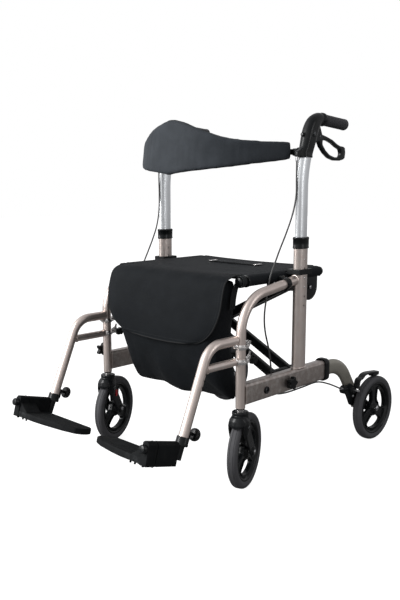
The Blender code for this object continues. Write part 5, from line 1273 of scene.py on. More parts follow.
def make_handle(side, hand):
    body = f"{side}_handle"
    shape = tube(handle_corners(), 0.024, 0.044, 0.012, 0.300, "anodised_silver", 0.0016, oval_share=1.0)
    put(f"{side}_handle_tube_anodised", shape, "anodised_silver", body, hand, None, [f"{side}_handle_tube"])

    stations = [((0.0048, 0.862), 0.0490, 0.031), ((0.0060, 0.868), 0.0490, 0.031), ((0.0075, 0.874), 0.0465, 0.029),
                ((0.0120, 0.886), 0.0460, 0.030), ((0.020, 0.910), 0.0490, 0.033), ((0.028, 0.932), 0.0490, 0.034),
                ((0.040, 0.952), 0.0440, 0.034), ((0.058, 0.9640), 0.0360, 0.032), ((0.072, 0.9655), 0.0320, 0.030),
                ((GRIP_START.y - 0.004, GRIP_START.z), 0.031, 0.030)]
    data = smooth_route([(y, z, d) for (y, z), d, _ in stations], 4)
    widths = smooth_route([(w, 0, 0) for _, _, w in stations], 4)
    rings = []
    for i, (p, w) in enumerate(zip(data, widths)):
        ahead, behind = data[min(i + 1, len(data) - 1)], data[max(i - 1, 0)]
        way = Vector((0, ahead.x - behind.x, ahead.y - behind.y)).normalized()
        if i == 0:
            way = Z
        up = way.cross(X)
        rings.append([Vector((SIDE_X, p.x, p.y)) + X * u + up * v for u, v in oval(p.z, w.x, 40)])
    shell = loft(rings)
    y, z = LEVER_PIVOT
    slot_half = 0.0068
    ear = [(y + 0.012 * math.cos(a), z + 0.010 * math.sin(a)) for a in (k * math.pi / 12 for k in range(24))]
    ear = hull(ear + [(0.030, 0.900), (0.030, 0.940), (y, 0.945)])
    ears = [plate(ear, start, 0.0038, 0.001) for start in (SIDE_X + slot_half, SIDE_X - slot_half - 0.0038)]
    socket = bar((SIDE_X - 0.004, *BACKREST_PIVOT), (SOCKET_X, *BACKREST_PIVOT), 0.0100)
    chin = plate(round_corners([(-0.0355, 0.863), (0.004, 0.863), (0.004, 0.893), (-0.0345, 0.876)], 0.002, 3),
                 SIDE_X - 0.006, 0.012, 0.0015)
    boss = bar((SIDE_X + 0.010, 0.022, 0.924), (SIDE_X + 0.0185, 0.022, 0.924), 0.0068, 0.0010)
    front_boss = bar((SIDE_X, -0.002, 0.921), (SIDE_X, -0.0105, 0.922), 0.0050, 0.0012)
    rear_boss = bar((SIDE_X, 0.030, 0.872), (SIDE_X, 0.036, 0.8705), 0.0045, 0.0010)
    collar_start = GRIP_START - GRIP_WAY * 0.010
    collar = bar(collar_start, GRIP_START + GRIP_WAY * 0.001, 0.0182, 0.0020)
    slot_cut = plate([(y - 0.012, z - 0.013), (y + 0.05, z - 0.013), (y + 0.05, z + 0.013), (y - 0.012, z + 0.013)],
                     SIDE_X - slot_half, 2 * slot_half, 0.0002)
    shape = carve(cast(join(shell, *ears, socket, chin, boss, front_boss, rear_boss, collar), 0.0010, 5), slot_cut)
    put(f"{side}_housing_moulded", shape, "black_gloss_moulding", body, hand, None, [f"{side}_handle_housing"],
        45)
    heads = screws([((SIDE_X + 0.0186, 0.022, 0.924), X), ((SIDE_X - slot_half - 0.0040, y, z), -X),
                    ((SIDE_X + slot_half + 0.0040, y, z), X)], 0.0036, 0.0020)
    put(f"{side}_housing_screws", heads, "dark_steel", body, hand)


def make_grip(side, hand):
    """Ribbed sleeve with a swollen end."""
    profile = [(0, -0.001), (0.0105, -0.001), (0.0150, 0.0), (0.0155, 0.0012), (0.0155, 0.0030)]
    rib_count = 13
    for k in range(rib_count):
        at = 0.0050 + k * 0.0070
        profile += [(0.0136, at), (0.0136, at + 0.0018), (0.0153, at + 0.0026), (0.0155, at + 0.0042),
                    (0.0150, at + 0.0054)]
    profile += [(0.0150, 0.0975), (0.0158, 0.0990), (0.0158, 0.1050), (0.0148, 0.1068), (0.0120, 0.1075), (0, 0.1077)]
    shape = lathe(profile, GRIP_START, GRIP_WAY, 56)
    put(f"{side}_grip_ribbed", shape, "grip_rubber", f"{side}_handle", hand, None, [f"{side}_grip"],
        60)


def make_lever(side, hand):
    """Brake lever: a closed loop with a broad rough pad."""
    y, z = LEVER_PIVOT
    boss_ring = arc(0.011, [math.radians(d) for d in range(270, 89, -15)], (y, z))
    outline = [(0.102, 0.920), (0.128, 0.913), (0.150, 0.903), (0.166, 0.898), (0.190, 0.896),
               (0.193, 0.880), (0.190, 0.862), (0.166, 0.857), (0.139, 0.857), (0.112, 0.863),
               (0.090, 0.875), (0.070, 0.892)]
    hole = [(0.080, 0.9120), (0.104, 0.9100), (0.128, 0.9030), (0.149, 0.8935), (0.166, 0.8880), (0.1715, 0.8770),
            (0.166, 0.8665), (0.140, 0.8660), (0.115, 0.8720), (0.095, 0.8835), (0.079, 0.8990)]
    outline = round_corners(outline, 0.012, 6, False)
    shape = plate(boss_ring + outline, SIDE_X - 0.0065, 0.013, 0.0032, holes=[round_corners(hole, 0.010, 6)], steps=4)
    put(f"{side}_lever_moulded", shape, "black_gloss_moulding", f"{side}_lever", hand, None, [f"{side}_brake_lever"],
        50)
    dots = [((SIDE_X + (column - 1) * 0.0036, 0.1918 - 0.0004 * abs(row - 3), 0.866 + row * 0.0052), Y)
            for row in range(6) for column in range(3)]
    shape = grown("pad_ribs", points_with_way(dots), "tread_ribs",
                  {"Length": 0.0026, "Width": 0.0026, "Height": 0.0022, "Material": finish("black_moulding")})
    put(f"{side}_lever_pad", shape, "black_moulding", f"{side}_lever", hand)


# Footrests

def rod_frame():
    """Origin and axes of a footplate: forward along the hinge rod, inboard and up."""
    rise, run = math.sin(PLATE_TILT), math.cos(PLATE_TILT)
    return HANGER_END + HANGER_DOWN * 0.018, Vector((0, -run, rise)), -X, Vector((0, rise, run))


def make_hanger(side, hand):
    body = f"{side}_hanger_body"
    r, bend = settings().frame.hanger_radius, 0.060
    slope = math.tan(HANGER_SLOPE)
    corner = Vector((HANGER_X, HANGER_END.y + (HANGER_TOP_Z - HANGER_END.z) * slope, HANGER_TOP_Z))
    holes = (HANGER_END - HANGER_DOWN * 0.036 + X.cross(HANGER_DOWN) * 0.0055, -HANGER_DOWN * 0.0165, 9, 0.0030)
    main_tube = tube([(HANGER_X, FRONT_Y - 0.0135, HANGER_TOP_Z), corner, HANGER_END], 2 * r, 2 * r, r, bend,
                     "champagne_lacquer", holes=holes)
    arm_y = HANGER_END.y + (ARM_Z - HANGER_END.z) * slope
    arm = tube([(HANGER_X, arm_y + 0.008, ARM_Z), (HANGER_X, FRONT_Y - 0.0175, ARM_Z)], 0.020, 0.020, 0.010, 0.01,
               "champagne_lacquer")
    bead = [(HANGER_X + 0.0104 * math.cos(a), arm_y + 0.0140 - 0.0030 * math.sin(a), ARM_Z + 0.0104 * math.sin(a))
            for a in (k * math.pi / 16 for k in range(33))]
    weld = cord_shape(bead, 0.0015, 8, False)
    put(f"{side}_hanger_lacquered", join(main_tube, arm, weld), "champagne_lacquer", body, hand, None,
        [f"{side}_hanger"])


def make_clamps(side, hand):
    """Two bright rings that hold the hanger on the front tube."""
    body = f"{side}_hanger_body"
    outer, inner = settings().frame.tube_radius + 0.0043, settings().frame.tube_radius + 0.0003
    ear_y = FRONT_Y + outer
    for name, z in zip(("upper_clamp", "lower_clamp"), CLAMP_HEIGHTS):
        ring = lathe(round_corners([(inner, -0.0066), (inner + 0.0022, -0.0066), (inner + 0.0022, -0.0024),
                                    (outer + 0.0036, -0.0024), (outer + 0.0036, 0.0022), (inner + 0.0022, 0.0022),
                                    (inner + 0.0022, 0.0066), (inner, 0.0066)],
                                   0.0007, 3), (SIDE_X, FRONT_Y, z), Z, 64)
        ears = [plate(round_corners([(ear_y - 0.002, z - 0.0055), (ear_y + 0.012, z - 0.004),
                                     (ear_y + 0.019, z + 0.010), (ear_y + 0.013, z + 0.013),
                                     (ear_y - 0.002, z + 0.0045)], 0.0022, 4),
                      SIDE_X + start, 0.0030, 0.0006) for start in (-0.0045, 0.0015)]
        link = bar((SIDE_X - 0.002, FRONT_Y - outer + 0.002, z), (HANGER_X, FRONT_Y - 0.0185, z + 0.006), 0.0075)
        heads = screws([((SIDE_X + 0.0045, ear_y + 0.0055, z), X), ((SIDE_X - 0.0045, ear_y + 0.0055, z), -X)],
                       0.0036, 0.0022, "polished_chrome")
        put(f"{side}_{name}_ring", join(ring, *ears, link, heads), "polished_chrome", body, hand, None,
            [f"{side}_{name}"])


def make_latch(side, hand):
    """Latch that lets the hanger swing: a bright bracket and a black knob behind the tube."""
    body = f"{side}_hanger_body"
    mid = sum(CLAMP_HEIGHTS) / 2
    web = plate(round_corners([(FRONT_Y + 0.0165, mid - 0.012), (FRONT_Y + 0.028, mid - 0.006),
                               (FRONT_Y + 0.034, mid + 0.004), (FRONT_Y + 0.038, mid + 0.002),
                               (FRONT_Y + 0.036, mid - 0.010), (FRONT_Y + 0.044, mid - 0.022),
                               (FRONT_Y + 0.036, mid - 0.026), (FRONT_Y + 0.0165, mid - 0.024)],
                              0.0022, 4), SIDE_X - 0.0015, 0.0030, 0.0006)
    put(f"{side}_latch_bracket", web, "polished_chrome", body, hand)
    knob = plate(lobed(0.0112, 0.0100, 5), SIDE_X - 0.008, 0.016, 0.0030, origin=(0, FRONT_Y + 0.050, mid - 0.022),
                 steps=4)
    tail = plate(round_corners([(FRONT_Y + 0.036, mid - 0.014), (FRONT_Y + 0.050, mid - 0.014),
                                (FRONT_Y + 0.048, mid - 0.034), (FRONT_Y + 0.038, mid - 0.032)], 0.004, 4),
                 SIDE_X - 0.005, 0.010, 0.0020)
    put(f"{side}_latch_knob", join(knob, tail), "black_gloss_moulding", body, hand)


def make_sleeve(side, hand):
    """Black sleeve and hand knob at the hanger's end."""
    end, down, r = HANGER_END, HANGER_DOWN, settings().frame.hanger_radius
    wall = r + 0.0033
    profile = [(0.0098, -0.0120), (wall - 0.0010, -0.0120), (wall, -0.0106), (wall, 0.0030), (wall + 0.0008, 0.0044),
               (wall + 0.0008, 0.0084), (wall - 0.0008, 0.0100), (0.0098, 0.0100)]
    sleeve = lathe(profile, end, down, 56)
    rear = HANGER_REAR
    tab_out = rear * (r + 0.0045)
    tab = bar(end - down * 0.0280 + tab_out, end - down * 0.0010 + tab_out, 0.0042, 0.0015, 24)
    start = end - down * 0.0225 + rear * (wall - 0.001)
    stem = bar(start, start + rear * 0.016, 0.0042)
    knob = lathe([(0, 0.0150), (0.0100, 0.0152), (0.0142, 0.0165), (0.0156, 0.0185), (0.0156, 0.0250),
                  (0.0142, 0.0280), (0.0118, 0.0286), (0.0090, 0.0272), (0.0056, 0.0258), (0, 0.0254)],
                 start, rear, 60)
    for vert in knob.verts:
        off = vert.co - start
        off -= rear * off.dot(rear)
        if off.length > 0.0138:
            vert.co += off.normalized() * 0.0005 * math.cos(20 * math.atan2(off.x, off.dot(rear.cross(X))))
    shape = join(sleeve, tab, stem, knob)
    put(f"{side}_sleeve_moulded", shape, "black_gloss_moulding", f"{side}_hanger_body", hand, None,
        [f"{side}_hanger_sleeve"], 40)


def make_foot_tube(side, hand):
    """Foot tube, hinge rod and end cap."""
    origin, forward, _, _ = rod_frame()
    down, rear = HANGER_DOWN, HANGER_REAR
    body = f"{side}_foot_extension"
    foot_tube = bar(origin - down * 0.130, origin + down * 0.026, 0.0095, 0.0015)
    rod = bar(origin, origin + forward * 0.124, 0.0050)
    put(f"{side}_foot_tube_coated", join(foot_tube, rod), "powder_coat", body, hand, None, [f"{side}_foot_tube"])
    studs = screws([(origin + down * (0.001 + 0.010 * k) + rear * 0.0093, rear) for k in (0, 1, 2)], 0.0024, 0.0008,
                   socket=0.6)
    put(f"{side}_foot_tube_studs", studs, "zinc_steel", body, hand)
    cap_start = origin + forward * 0.1143
    cap = lathe([(0.0050, 0.0), (0.0092, 0.0), (0.0100, 0.0010), (0.0100, 0.0100), (0.0088, 0.0120), (0.0050, 0.0128),
                 (0, 0.0130)],
                cap_start, forward, 40)
    put(f"{side}_rod_cap", cap, "black_gloss_moulding", body, hand)


def make_footplate(side, hand):
    """Footplate: the hinge block with its lugs, and the deck."""
    origin, forward, inboard, up = rod_frame()
    body = f"{side}_plate"
    axes = (inboard, up, forward)
    half, top, bottom = 0.011, 0.018, -0.039
    section = round_corners([(-half, bottom), (half, bottom), (half, top - 0.004), (half - 0.005, top),
                             (-half + 0.007, top), (-half, top - 0.007)],
                            [0.001, 0.001, 0.003, 0.003, 0.004, 0.004], 5)
    bore = circle(0.0053, 24)
    blocks = [plate(section, begin, length, 0.0012, axes, origin, holes=[bore])
              for begin, length in ((0.014, 0.069), (0.0850, 0.029))]
    inner_section = [(u * 0.82, v * 0.92 - 0.001) for u, v in section]
    blocks.append(plate(inner_section, 0.080, 0.008, 0.0005, axes, origin, holes=[bore]))
    step, root = 0.0015, half - 0.004
    near, far = 0.014 + step, 0.114 - step
    outline = [(root, near), (0.207, near), (0.221, near + 0.008), (0.227, near + 0.024), (0.227, 0.057),
               (0.217, 0.074), (0.182, 0.091), (0.120, far - 0.006), (0.080, far), (root, far)]
    outline = round_corners(outline, [0, 0.012, 0.012, 0.014, 0.012, 0.012, 0.05, 0.08, 0.05, 0], 6)
    deck = plate(outline, bottom + step, 0.016, 0.0026, (inboard, forward, up), origin, steps=4)
    lugs = [plate(round_corners([(half - 0.004, bottom), (half + 0.014, bottom), (half + 0.010, bottom + 0.0035),
                                 (half - 0.004, bottom + 0.0035)], 0.001, 2), at, 0.008, 0.0008, axes, origin)
            for at in (0.020, 0.100)]
    gusset = plate(round_corners([(half - 0.004, bottom + 0.010), (half + 0.034, bottom + 0.010),
                                  (half + 0.034, bottom + 0.0185), (half + 0.016, bottom + 0.0300),
                                  (half - 0.004, bottom + 0.0420)], [0, 0, 0.003, 0.012, 0.001], 5),
                   0.062, 0.049, 0.0022, axes, origin, steps=3)
    feet = [plate(round_corners([(u - 0.002, bottom - 0.0035), (u + 0.002, bottom - 0.0035),
                                 (u + 0.002, bottom + 0.004), (u - 0.002, bottom + 0.004)], 0.0008, 2), at, size,
                  0.0006, axes, origin)
            for u, at, size in ((0.004, 0.104, 0.006), (0.004, 0.022, 0.006), (0.030, 0.1065, 0.0040),
                                (0.046, 0.1060, 0.0040))]
    band = plate([(u * 1.035, v * 1.035) for u, v in section], 0.0900, 0.0022, 0.0005, axes, origin, holes=[bore])
    shape = join(*blocks, deck, gusset, band, *feet, *lugs)
    put(f"{side}_footplate_moulded", shape, "plate_moulding", body, hand, None, [f"{side}_footplate"])
    ribs = [(origin + inboard * 0.118 + forward * (0.026 + k * 0.0085) + up * (bottom + step + 0.0161), up)
            for k in range(9)]
    shape = grown("deck_ribs", points_with_way(ribs), "tread_ribs",
                  {"Length": 0.150, "Width": 0.0026, "Height": 0.0018, "Material": finish("plate_moulding")})
    put(f"{side}_footplate_ribs", shape, "plate_moulding", body, hand)


# Folding middle

def make_cross():
    """Two pairs of bars that cross, on a pin through their middle."""
    low_point, high_point = Vector((PIVOT_X, 0, LOWER_PIVOT_Z)), Vector((-PIVOT_X, 0, UPPER_PIVOT_Z))
    along = (high_point - low_point).normalized()
    across = along.cross(Y)
    length = (high_point - low_point).length
    section = 0.012
    for name, hand, spreads, body in (("brace_a", 1, (-0.036, 0.036), "first_brace"),
                                      ("brace_b", -1, (-0.013, 0.013), "second_brace")):
        shapes = []
        for spread in spreads:
            outline = arc(section, [math.pi / 2 + math.pi * k / 16 for k in range(17)])
            outline += [(length - u, -v) for u, v in outline]
            shapes.append(plate(outline, BRACE_Y + spread - 0.008, 0.016, 0.0030, (along, across, Y), low_point,
                                steps=4))
        for end in (low_point, high_point):
            at = Vector((0, BRACE_Y - 0.046, 0))
            shapes.append(lathe(round_corners([(0.0043, 0), (0.0100, 0), (0.0100, 0.092), (0.0043, 0.092)], 0.001, 3),
                                end + at, Y, 40))
        if hand > 0:
            middle = (low_point + high_point) / 2
            shapes.append(bar(middle + Y * (BRACE_Y - 0.047), middle + Y * (BRACE_Y + 0.047), 0.0042))
            shapes.append(screws([(middle + Y * (BRACE_Y - 0.0442), -Y), (middle + Y * (BRACE_Y + 0.0442), Y)],
                                 0.0074, 0.0040, "powder_coat"))
        put(f"{name}_coated", join(*shapes), "powder_coat", body, hand, None, [name])


def make_rail(side, hand):
    """Seat rail with its lugs, rear tab and pin."""
    body = f"{side}_seat_rail_body"
    profile = [(0, 0.3410), (0.0060, 0.3405), (0.0104, 0.3380), (0.0125, 0.3320), (0.0125, 0.3205), (0.0121, 0.3200),
               (0.0125, 0.3195), (0.0125, 0.0005), (0.0121, 0.0), (0.0125, -0.0005), (0.0125, -0.0100),
               (0.0104, -0.0160), (0.0060, -0.0185), (0, -0.0190)]
    profile = [(r, min(max(h, -0.0088), 0.3288)) for r, h in profile]
    shapes = [lathe([(r, h + RAIL_FRONT_Y) for r, h in profile], (PIVOT_X, 0, RAIL_Z), Y, 48)]
    for y in (BRACE_Y - 0.0463 - 0.005, BRACE_Y + 0.0463):
        tongue = arc(0.011, [math.pi / 2 + math.pi * k / 12 for k in range(13)])
        shapes.append(plate(tongue + [(0.030, -0.011), (0.030, 0.011)], y, 0.005, 0.0008, (Z, -X, Y),
                            (PIVOT_X, 0, UPPER_PIVOT_Z)))
    centre, disc, drop = RAIL_REAR_Y - 0.042, 0.038, RAIL_Z - 0.0425
    outline = arc(disc, [-math.pi * k / 24 for k in range(25)], (centre, drop))
    outline += [(centre - disc, RAIL_Z - 0.006), (centre + disc, RAIL_Z - 0.006)]
    shapes.append(plate(outline, PIVOT_X - 0.003, 0.006, 0.0012))
    shapes.append(bar((PIVOT_X, centre, drop), (PIVOT_X + 0.006, centre, drop), 0.0065))
    pin = SLEEVE_HALF + 0.007
    shapes.append(bar((PIVOT_X, BRACE_Y - pin, UPPER_PIVOT_Z), (PIVOT_X, BRACE_Y + pin, UPPER_PIVOT_Z), 0.0040))
    put(f"{side}_rail_coated", join(*shapes), "powder_coat", body, hand, None, [f"{side}_seat_rail"])
    nose = lathe([(0, -0.0190), (0.0080, -0.0188), (0.0112, -0.0170), (0.0125, -0.0140), (0.0125, 0.0080),
                  (0.0158, 0.0085), (0.0162, 0.0100), (0.0162, 0.0125), (0.0140, 0.0135), (0, 0.0135)],
                 (PIVOT_X, RAIL_FRONT_Y - 0.0125, RAIL_Z), Y, 48)
    put(f"{side}_rail_nose", nose, "black_gloss_moulding", body, hand)
    heads = screws([((PIVOT_X + 0.0058, centre, drop), X), ((PIVOT_X - 0.0030, centre, drop), -X)], 0.0040, 0.0022)
    put(f"{side}_rail_screws", heads, "zinc_steel", body, hand)


# Seat

def seat_level(x):
    """Height of the seat's underside between the rails."""
    return RAIL_Z + RAIL_RADIUS + 0.0006 - settings().soft.seat_sag * (1 - min(1.0, abs(x) / PIVOT_X) ** 2)


def seat_wave(x, y):
    """Small unevenness of the stretched cloth, none at the rails."""
    calm = 1 - (abs(x) / PIVOT_X) ** 2
    broad = noise.noise(Vector((x * 9, y * 16, 3.0))) * 0.0007
    pull = math.sin(y * 105 + 1.2 * noise.noise(Vector((x * 14, y * 5, 1.0)))) * 0.00045 * (abs(x) / PIVOT_X) ** 1.5
    return calm * broad + pull * (1 - (abs(x) / PIVOT_X) ** 8)


def seat_section():
    """Points (x, z, length so far) of the seat's top across the object, with the hems round the rails."""
    over = RAIL_RADIUS + 0.0026
    hem = [(PIVOT_X + over * math.sin(a), RAIL_Z + over * math.cos(a))
           for a in (math.radians(8 * k) for k in range(3, 20))]
    flat = [(PIVOT_X * (-1 + k / 40), seat_level(PIVOT_X * (-1 + k / 40)) + 0.0026) for k in range(81)]
    points = [(-x, z) for x, z in hem[::-1]] + flat + hem
    lengths, total = [0.0], 0.0
    for a, b in zip(points, points[1:]):
        total += math.dist(a, b)
        lengths.append(total)
    return points, lengths


def make_seat():
    points, lengths = seat_section()
    rows = 64
    front, rear = RAIL_FRONT_Y, RAIL_REAR_Y
    shape = bmesh.new()
    uv = shape.loops.layers.uv.new("threads")
    grid, marks = [], {}
    saddle = (POST_Y - 0.031, POST_Y + 0.031)
    for j in range(rows + 1):
        y = front + (rear - front) * j / rows
        line = []
        turned_in = 0.0012 * max(0, 1 - min(j, rows - j) / 1.5) ** 2
        for (x, z), u in zip(points, lengths):
            lift = (seat_wave(x, y) if abs(x) < PIVOT_X else 0.0) - turned_in
            vert = shape.verts.new((x, y, z + lift))
            marks[vert] = (u, y)
            line.append(vert)
        grid.append(line)
    for a, b in zip(grid, grid[1:]):
        for k in range(len(a) - 1):
            quad = (a[k], a[k + 1], b[k + 1], b[k])
            centre_x = sum(v.co.x for v in quad) / 4
            centre_y = sum(v.co.y for v in quad) / 4
            if abs(centre_x) > PIVOT_X + 0.004 and saddle[0] < centre_y < saddle[1]:
                continue
            face = shape.faces.new(quad)
            for loop in face.loops:
                loop[uv].uv = marks[loop.vert]
    bmesh.ops.delete(shape, geom=[v for v in shape.verts if not v.link_faces], context="VERTS")
    bmesh.ops.recalc_face_normals(shape, faces=shape.faces)
    if sum(f.normal.z for f in shape.faces) < 0:
        bmesh.ops.reverse_faces(shape, faces=shape.faces)
    shape = through(shape, ("SOLIDIFY", {"thickness": 0.0016, "offset": -1.0}))
    body = "left_seat_rail_body"
    seat = put("seat_cloth", shape, "seat_nylon", body, 1, None, ["seat"], 50, False)

    def on_seat(x, y, lift=0.0):
        return (x, y, seat_level(x) + 0.0027 + seat_wave(x, y) + lift)

    spread = [PIVOT_X * t for t in (-0.93 + 0.0186 * k for k in range(101))]
    routes = [[on_seat(x, y) for x in spread] for y in (front + 0.006, front + 0.010, rear - 0.006, rear - 0.010)]
    lines = [front + 0.004 + (rear - front - 0.008) * k / 60 for k in range(61)]
    for sign in (1, -1):
        routes += [[on_seat(sign * x, y) for y in lines] for x in (0.206, 0.2105)]
    seams = put("seat_stitching", stitches(routes, "dark_thread"), "dark_thread", body, sharp=0)
    hem = [on_seat(x, front + 0.0006, -0.0004) for x in spread]
    hem_rear = [on_seat(x, rear - 0.0006, -0.0004) for x in spread]
    piping = join(cord_shape(hem, 0.0014, 8), cord_shape(hem_rear, 0.0014, 8))
    binding = put("seat_hem_binding", piping, "piping", body)

    for piece in (seat, seams, binding, *make_strap(body)):
        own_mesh(piece)


def make_strap(body):
    """Pull strap: webbing held by a bright plate at each end."""
    y0, half_length = 0.031, 0.095
    path = []
    for k in range(49):
        t = -1 + k / 24
        x = half_length * t
        path.append((x, y0, seat_level(x) + 0.0046 + 0.0030 * (1 - t * t) + 0.0008 * math.cos(9 * t) * (1 - t * t)))
    strap = sweep(path, box_outline(0.026, 0.0020, 0.0009, 3), Y)
    strap_piece = put("strap_webbing", strap, "webbing", body, 1, None, ["pull_strap"], 40)
    thread_map(strap_piece, lambda p, n: (p.x, p.y))
    ends = []
    for sign in (1, -1):
        x = sign * (half_length - 0.006)
        ends.append(plate(box_outline(0.012, 0.030, 0.002), 0, 0.0018, 0.0005, (X, Y, Z),
                          (x, y0, seat_level(x) + 0.0054)))
        ends.append(screws([((x, y0 + w, seat_level(x) + 0.0071), Z) for w in (-0.008, 0.008)], 0.0020, 0.0010,
                           "polished_chrome"))
    plates = put("strap_end_plates", join(*ends), "polished_chrome", body)
    rows_of = [[(half_length * 0.80 * t, y0 + w, seat_level(half_length * t) + 0.0058 + 0.0030 * (1 - (0.8 * t) ** 2)
                 + 0.0008 * math.cos(7.2 * t) * (1 - (0.8 * t) ** 2)) for t in (-1 + k / 20 for k in range(41))]
               for w in (-0.0105, 0.0105)]
    strap_seams = put("strap_stitching", stitches(rows_of, "thread"), "thread", body, sharp=0)
    return strap_piece, plates, strap_seams


# Backrest

def band_edges(angle):
    """Upper and lower edge of the backrest band at an angle round the user."""
    away = abs(math.degrees(angle) - 90)
    return 0.904 + 0.00015 * (82 - away) + 0.048 * math.exp(-(away / 30) ** 2), 0.810 + 0.0005 * away


def band_radius(angle, height):
    """The band stands further out along its lower edge, except near its ends."""
    from_end = min(1.0, min(angle, math.pi - angle) / math.radians(40))
    return BACKREST_RADIUS + (0.012 * (1 - height) / 2 - 0.002) * from_end ** 2 * (3 - 2 * from_end)


def band_point(angle, across, height):
    """Place on the band: `across` from its outer face inwards, `height` from -1 to 1."""
    top, bottom = band_edges(angle)
    outward = Vector((math.cos(angle), -math.sin(angle), 0))
    z = (top + bottom) / 2 + (top - bottom) / 2 * height
    return outward * (band_radius(angle, height) - across) + Vector((0, BACKREST_PIVOT[0], z))


def swell(shape, pressure, cap, frames=20):
    """Blow up a closed shape as a cushion with the cloth solver, no point further than `cap`."""
    shape = through(shape, ("REMESH", {"mode": "VOXEL", "voxel_size": 0.005}))
    mesh = bpy.data.meshes.new("pad")
    shape.to_mesh(mesh)
    start = [v.co.copy() for v in mesh.vertices]
    shape.free()
    pad = bpy.data.objects.new("pad", mesh)
    bpy.context.scene.collection.objects.link(pad)
    cloth = pad.modifiers.new("cloth", "CLOTH")
    cloth.settings.quality = 5
    cloth.settings.mass = 0.4
    cloth.settings.tension_stiffness = 22
    cloth.settings.compression_stiffness = 22
    cloth.settings.bending_stiffness = 0.8
    cloth.settings.use_pressure = True
    cloth.settings.uniform_pressure_force = pressure
    cloth.settings.effector_weights.gravity = 0.0
    cloth.point_cache.frame_start, cloth.point_cache.frame_end = 1, frames
    scene = bpy.context.scene
    for number in range(1, frames + 1):
        scene.frame_set(number)
    result = pad.evaluated_get(bpy.context.evaluated_depsgraph_get()).to_mesh()
    moved = []
    for vert, rest in zip(result.vertices, start):
        step = vert.co - rest
        moved.append(rest + step * min(1.0, cap / max(step.length, 1e-9)))
    scene.frame_set(1)
    worked = bmesh.new()
    worked.from_mesh(mesh)
    worked.verts.ensure_lookup_table()
    for vert, place in zip(worked.verts, moved):
        vert.co = place
    bpy.data.objects.remove(pad)
    bpy.data.meshes.remove(mesh)
    return worked


def pad_skin(shape, pressure, cap):
    """The shape as a pad, swollen."""
    return swell(shape, pressure, cap)


def make_backrest():
    s = settings().soft
    body = "back_band"
    steps = 128
    first, last = math.radians(4.0), math.radians(176.0)
    middle, half = 0.013, s.band_thickness / 2
    inset = 0.0025
    rings = []
    for i in range(steps + 1):
        angle = first + (last - first) * i / steps
        top, bottom = band_edges(angle)
        tall = (top - bottom) / 2
        taper = min(1.0, 0.55 + 0.45 * min(i, steps - i) / 5)
        ring = box_outline(2 * half * taper, top - bottom - 2 * inset, 0.45 * 2 * half * taper, 6)
        rings.append([band_point(angle, middle - u, v / tall) for u, v in ring])
    shape = pad_skin(loft(rings), s.pressure, 0.0055)
    for vert in shape.verts:
        flat = vert.co - Vector((0, BACKREST_PIVOT[0], 0))
        angle = math.atan2(-flat.y, flat.x)
        ripple = 0.0006 * noise.noise(Vector((angle * 9, vert.co.z * 22, 0.5)))
        ripple += 0.0005 * math.sin(angle * 60 + 6 * noise.noise(Vector((angle * 3, vert.co.z * 8, 4.0)))) * 0.5
        vert.co += vert.normal * ripple
    shape = through(shape, ("SMOOTH", {"factor": 0.5, "iterations": 4}),
                    ("SUBSURF", {"levels": 1, "render_levels": 1}))
    pad = put("band_cover", shape, "band_nylon", body, 1, None, ["backrest"], 0)
    thread_map(pad, lambda p, n: (math.atan2(-(p.y - BACKREST_PIVOT[0]), p.x) * BACKREST_RADIUS, p.z))
    surface = BVHTree.FromPolygons([v.co - SHIFT for v in pad.data.vertices],
                                   [tuple(p.vertices) for p in pad.data.polygons])

    def on_cover(angle, height, lift=0.0003, inside=False):
        outward = Vector((math.cos(angle), -math.sin(angle), 0))
        place = band_point(angle, middle, height)
        way = -outward if inside else outward
        hit = surface.ray_cast(place + way * 0.05, -way)
        return (hit[0] if hit[0] is not None else place + way * half) + way * lift

    def edge_route(height, start, end, count=150):
        """Points on the cover's upper edge (1) or lower edge (-1)."""
        route = []
        for k in range(count + 1):
            angle = start + (end - start) * k / count
            place = band_point(angle, middle, height)
            hit = surface.ray_cast(place + Z * (0.06 * height), Z * -height)
            route.append(hit[0] if hit[0] is not None else place)
        return route

    ease = math.radians(2.5)
    cords = [cord_shape(edge_route(edge, first + ease, last - ease), s.piping) for edge in (1, -1)]
    piping = put("band_piping", join(*cords), "piping", body)
    routes = []
    for inside in (False, True):
        for sign in (1, -1):
            route = []
            for k in range(241):
                angle = math.radians(6.5) + math.radians(167) * k / 240
                top, bottom = band_edges(angle)
                height = sign * (1 - 2 * 0.0085 / (top - bottom))
                route.append(on_cover(angle, height, 0.0002, inside))
            routes.append(route)
        for angle in (math.radians(6.5), math.radians(173.5)):
            routes.append([on_cover(angle, -0.80 + 1.6 * k / 24, 0.0002, inside) for k in range(25)])
    seams = put("band_stitching", stitches(routes, "dark_thread"), "dark_thread", body, sharp=0)
    shapes = []
    for sign in (1, -1):
        x_inner = sign * (BACKREST_RADIUS - 0.016)
        shapes.append(bar((x_inner, *BACKREST_PIVOT), (sign * (SOCKET_X - 0.0003), *BACKREST_PIVOT), 0.0098))
        core = [Vector((sign * (BACKREST_RADIUS - middle) * math.cos(a),
                        BACKREST_PIVOT[0] - (BACKREST_RADIUS - middle) * math.sin(a),
                        BACKREST_PIVOT[1])) for a in (math.radians(14 - 1.2 * k) for k in range(13))]
        shapes.append(sweep(core, box_outline(0.0150, 0.0070, 0.0015, 3), Z))
        shapes.append(bar((sign * (SOCKET_X - 0.0050), *BACKREST_PIVOT),
                          (sign * (SOCKET_X - 0.0026), *BACKREST_PIVOT), 0.0118))
    plugs = put("band_plugs", join(*shapes), "black_moulding", body)
    for piece in (pad, piping, seams, plugs):
        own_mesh(piece)


# Bag

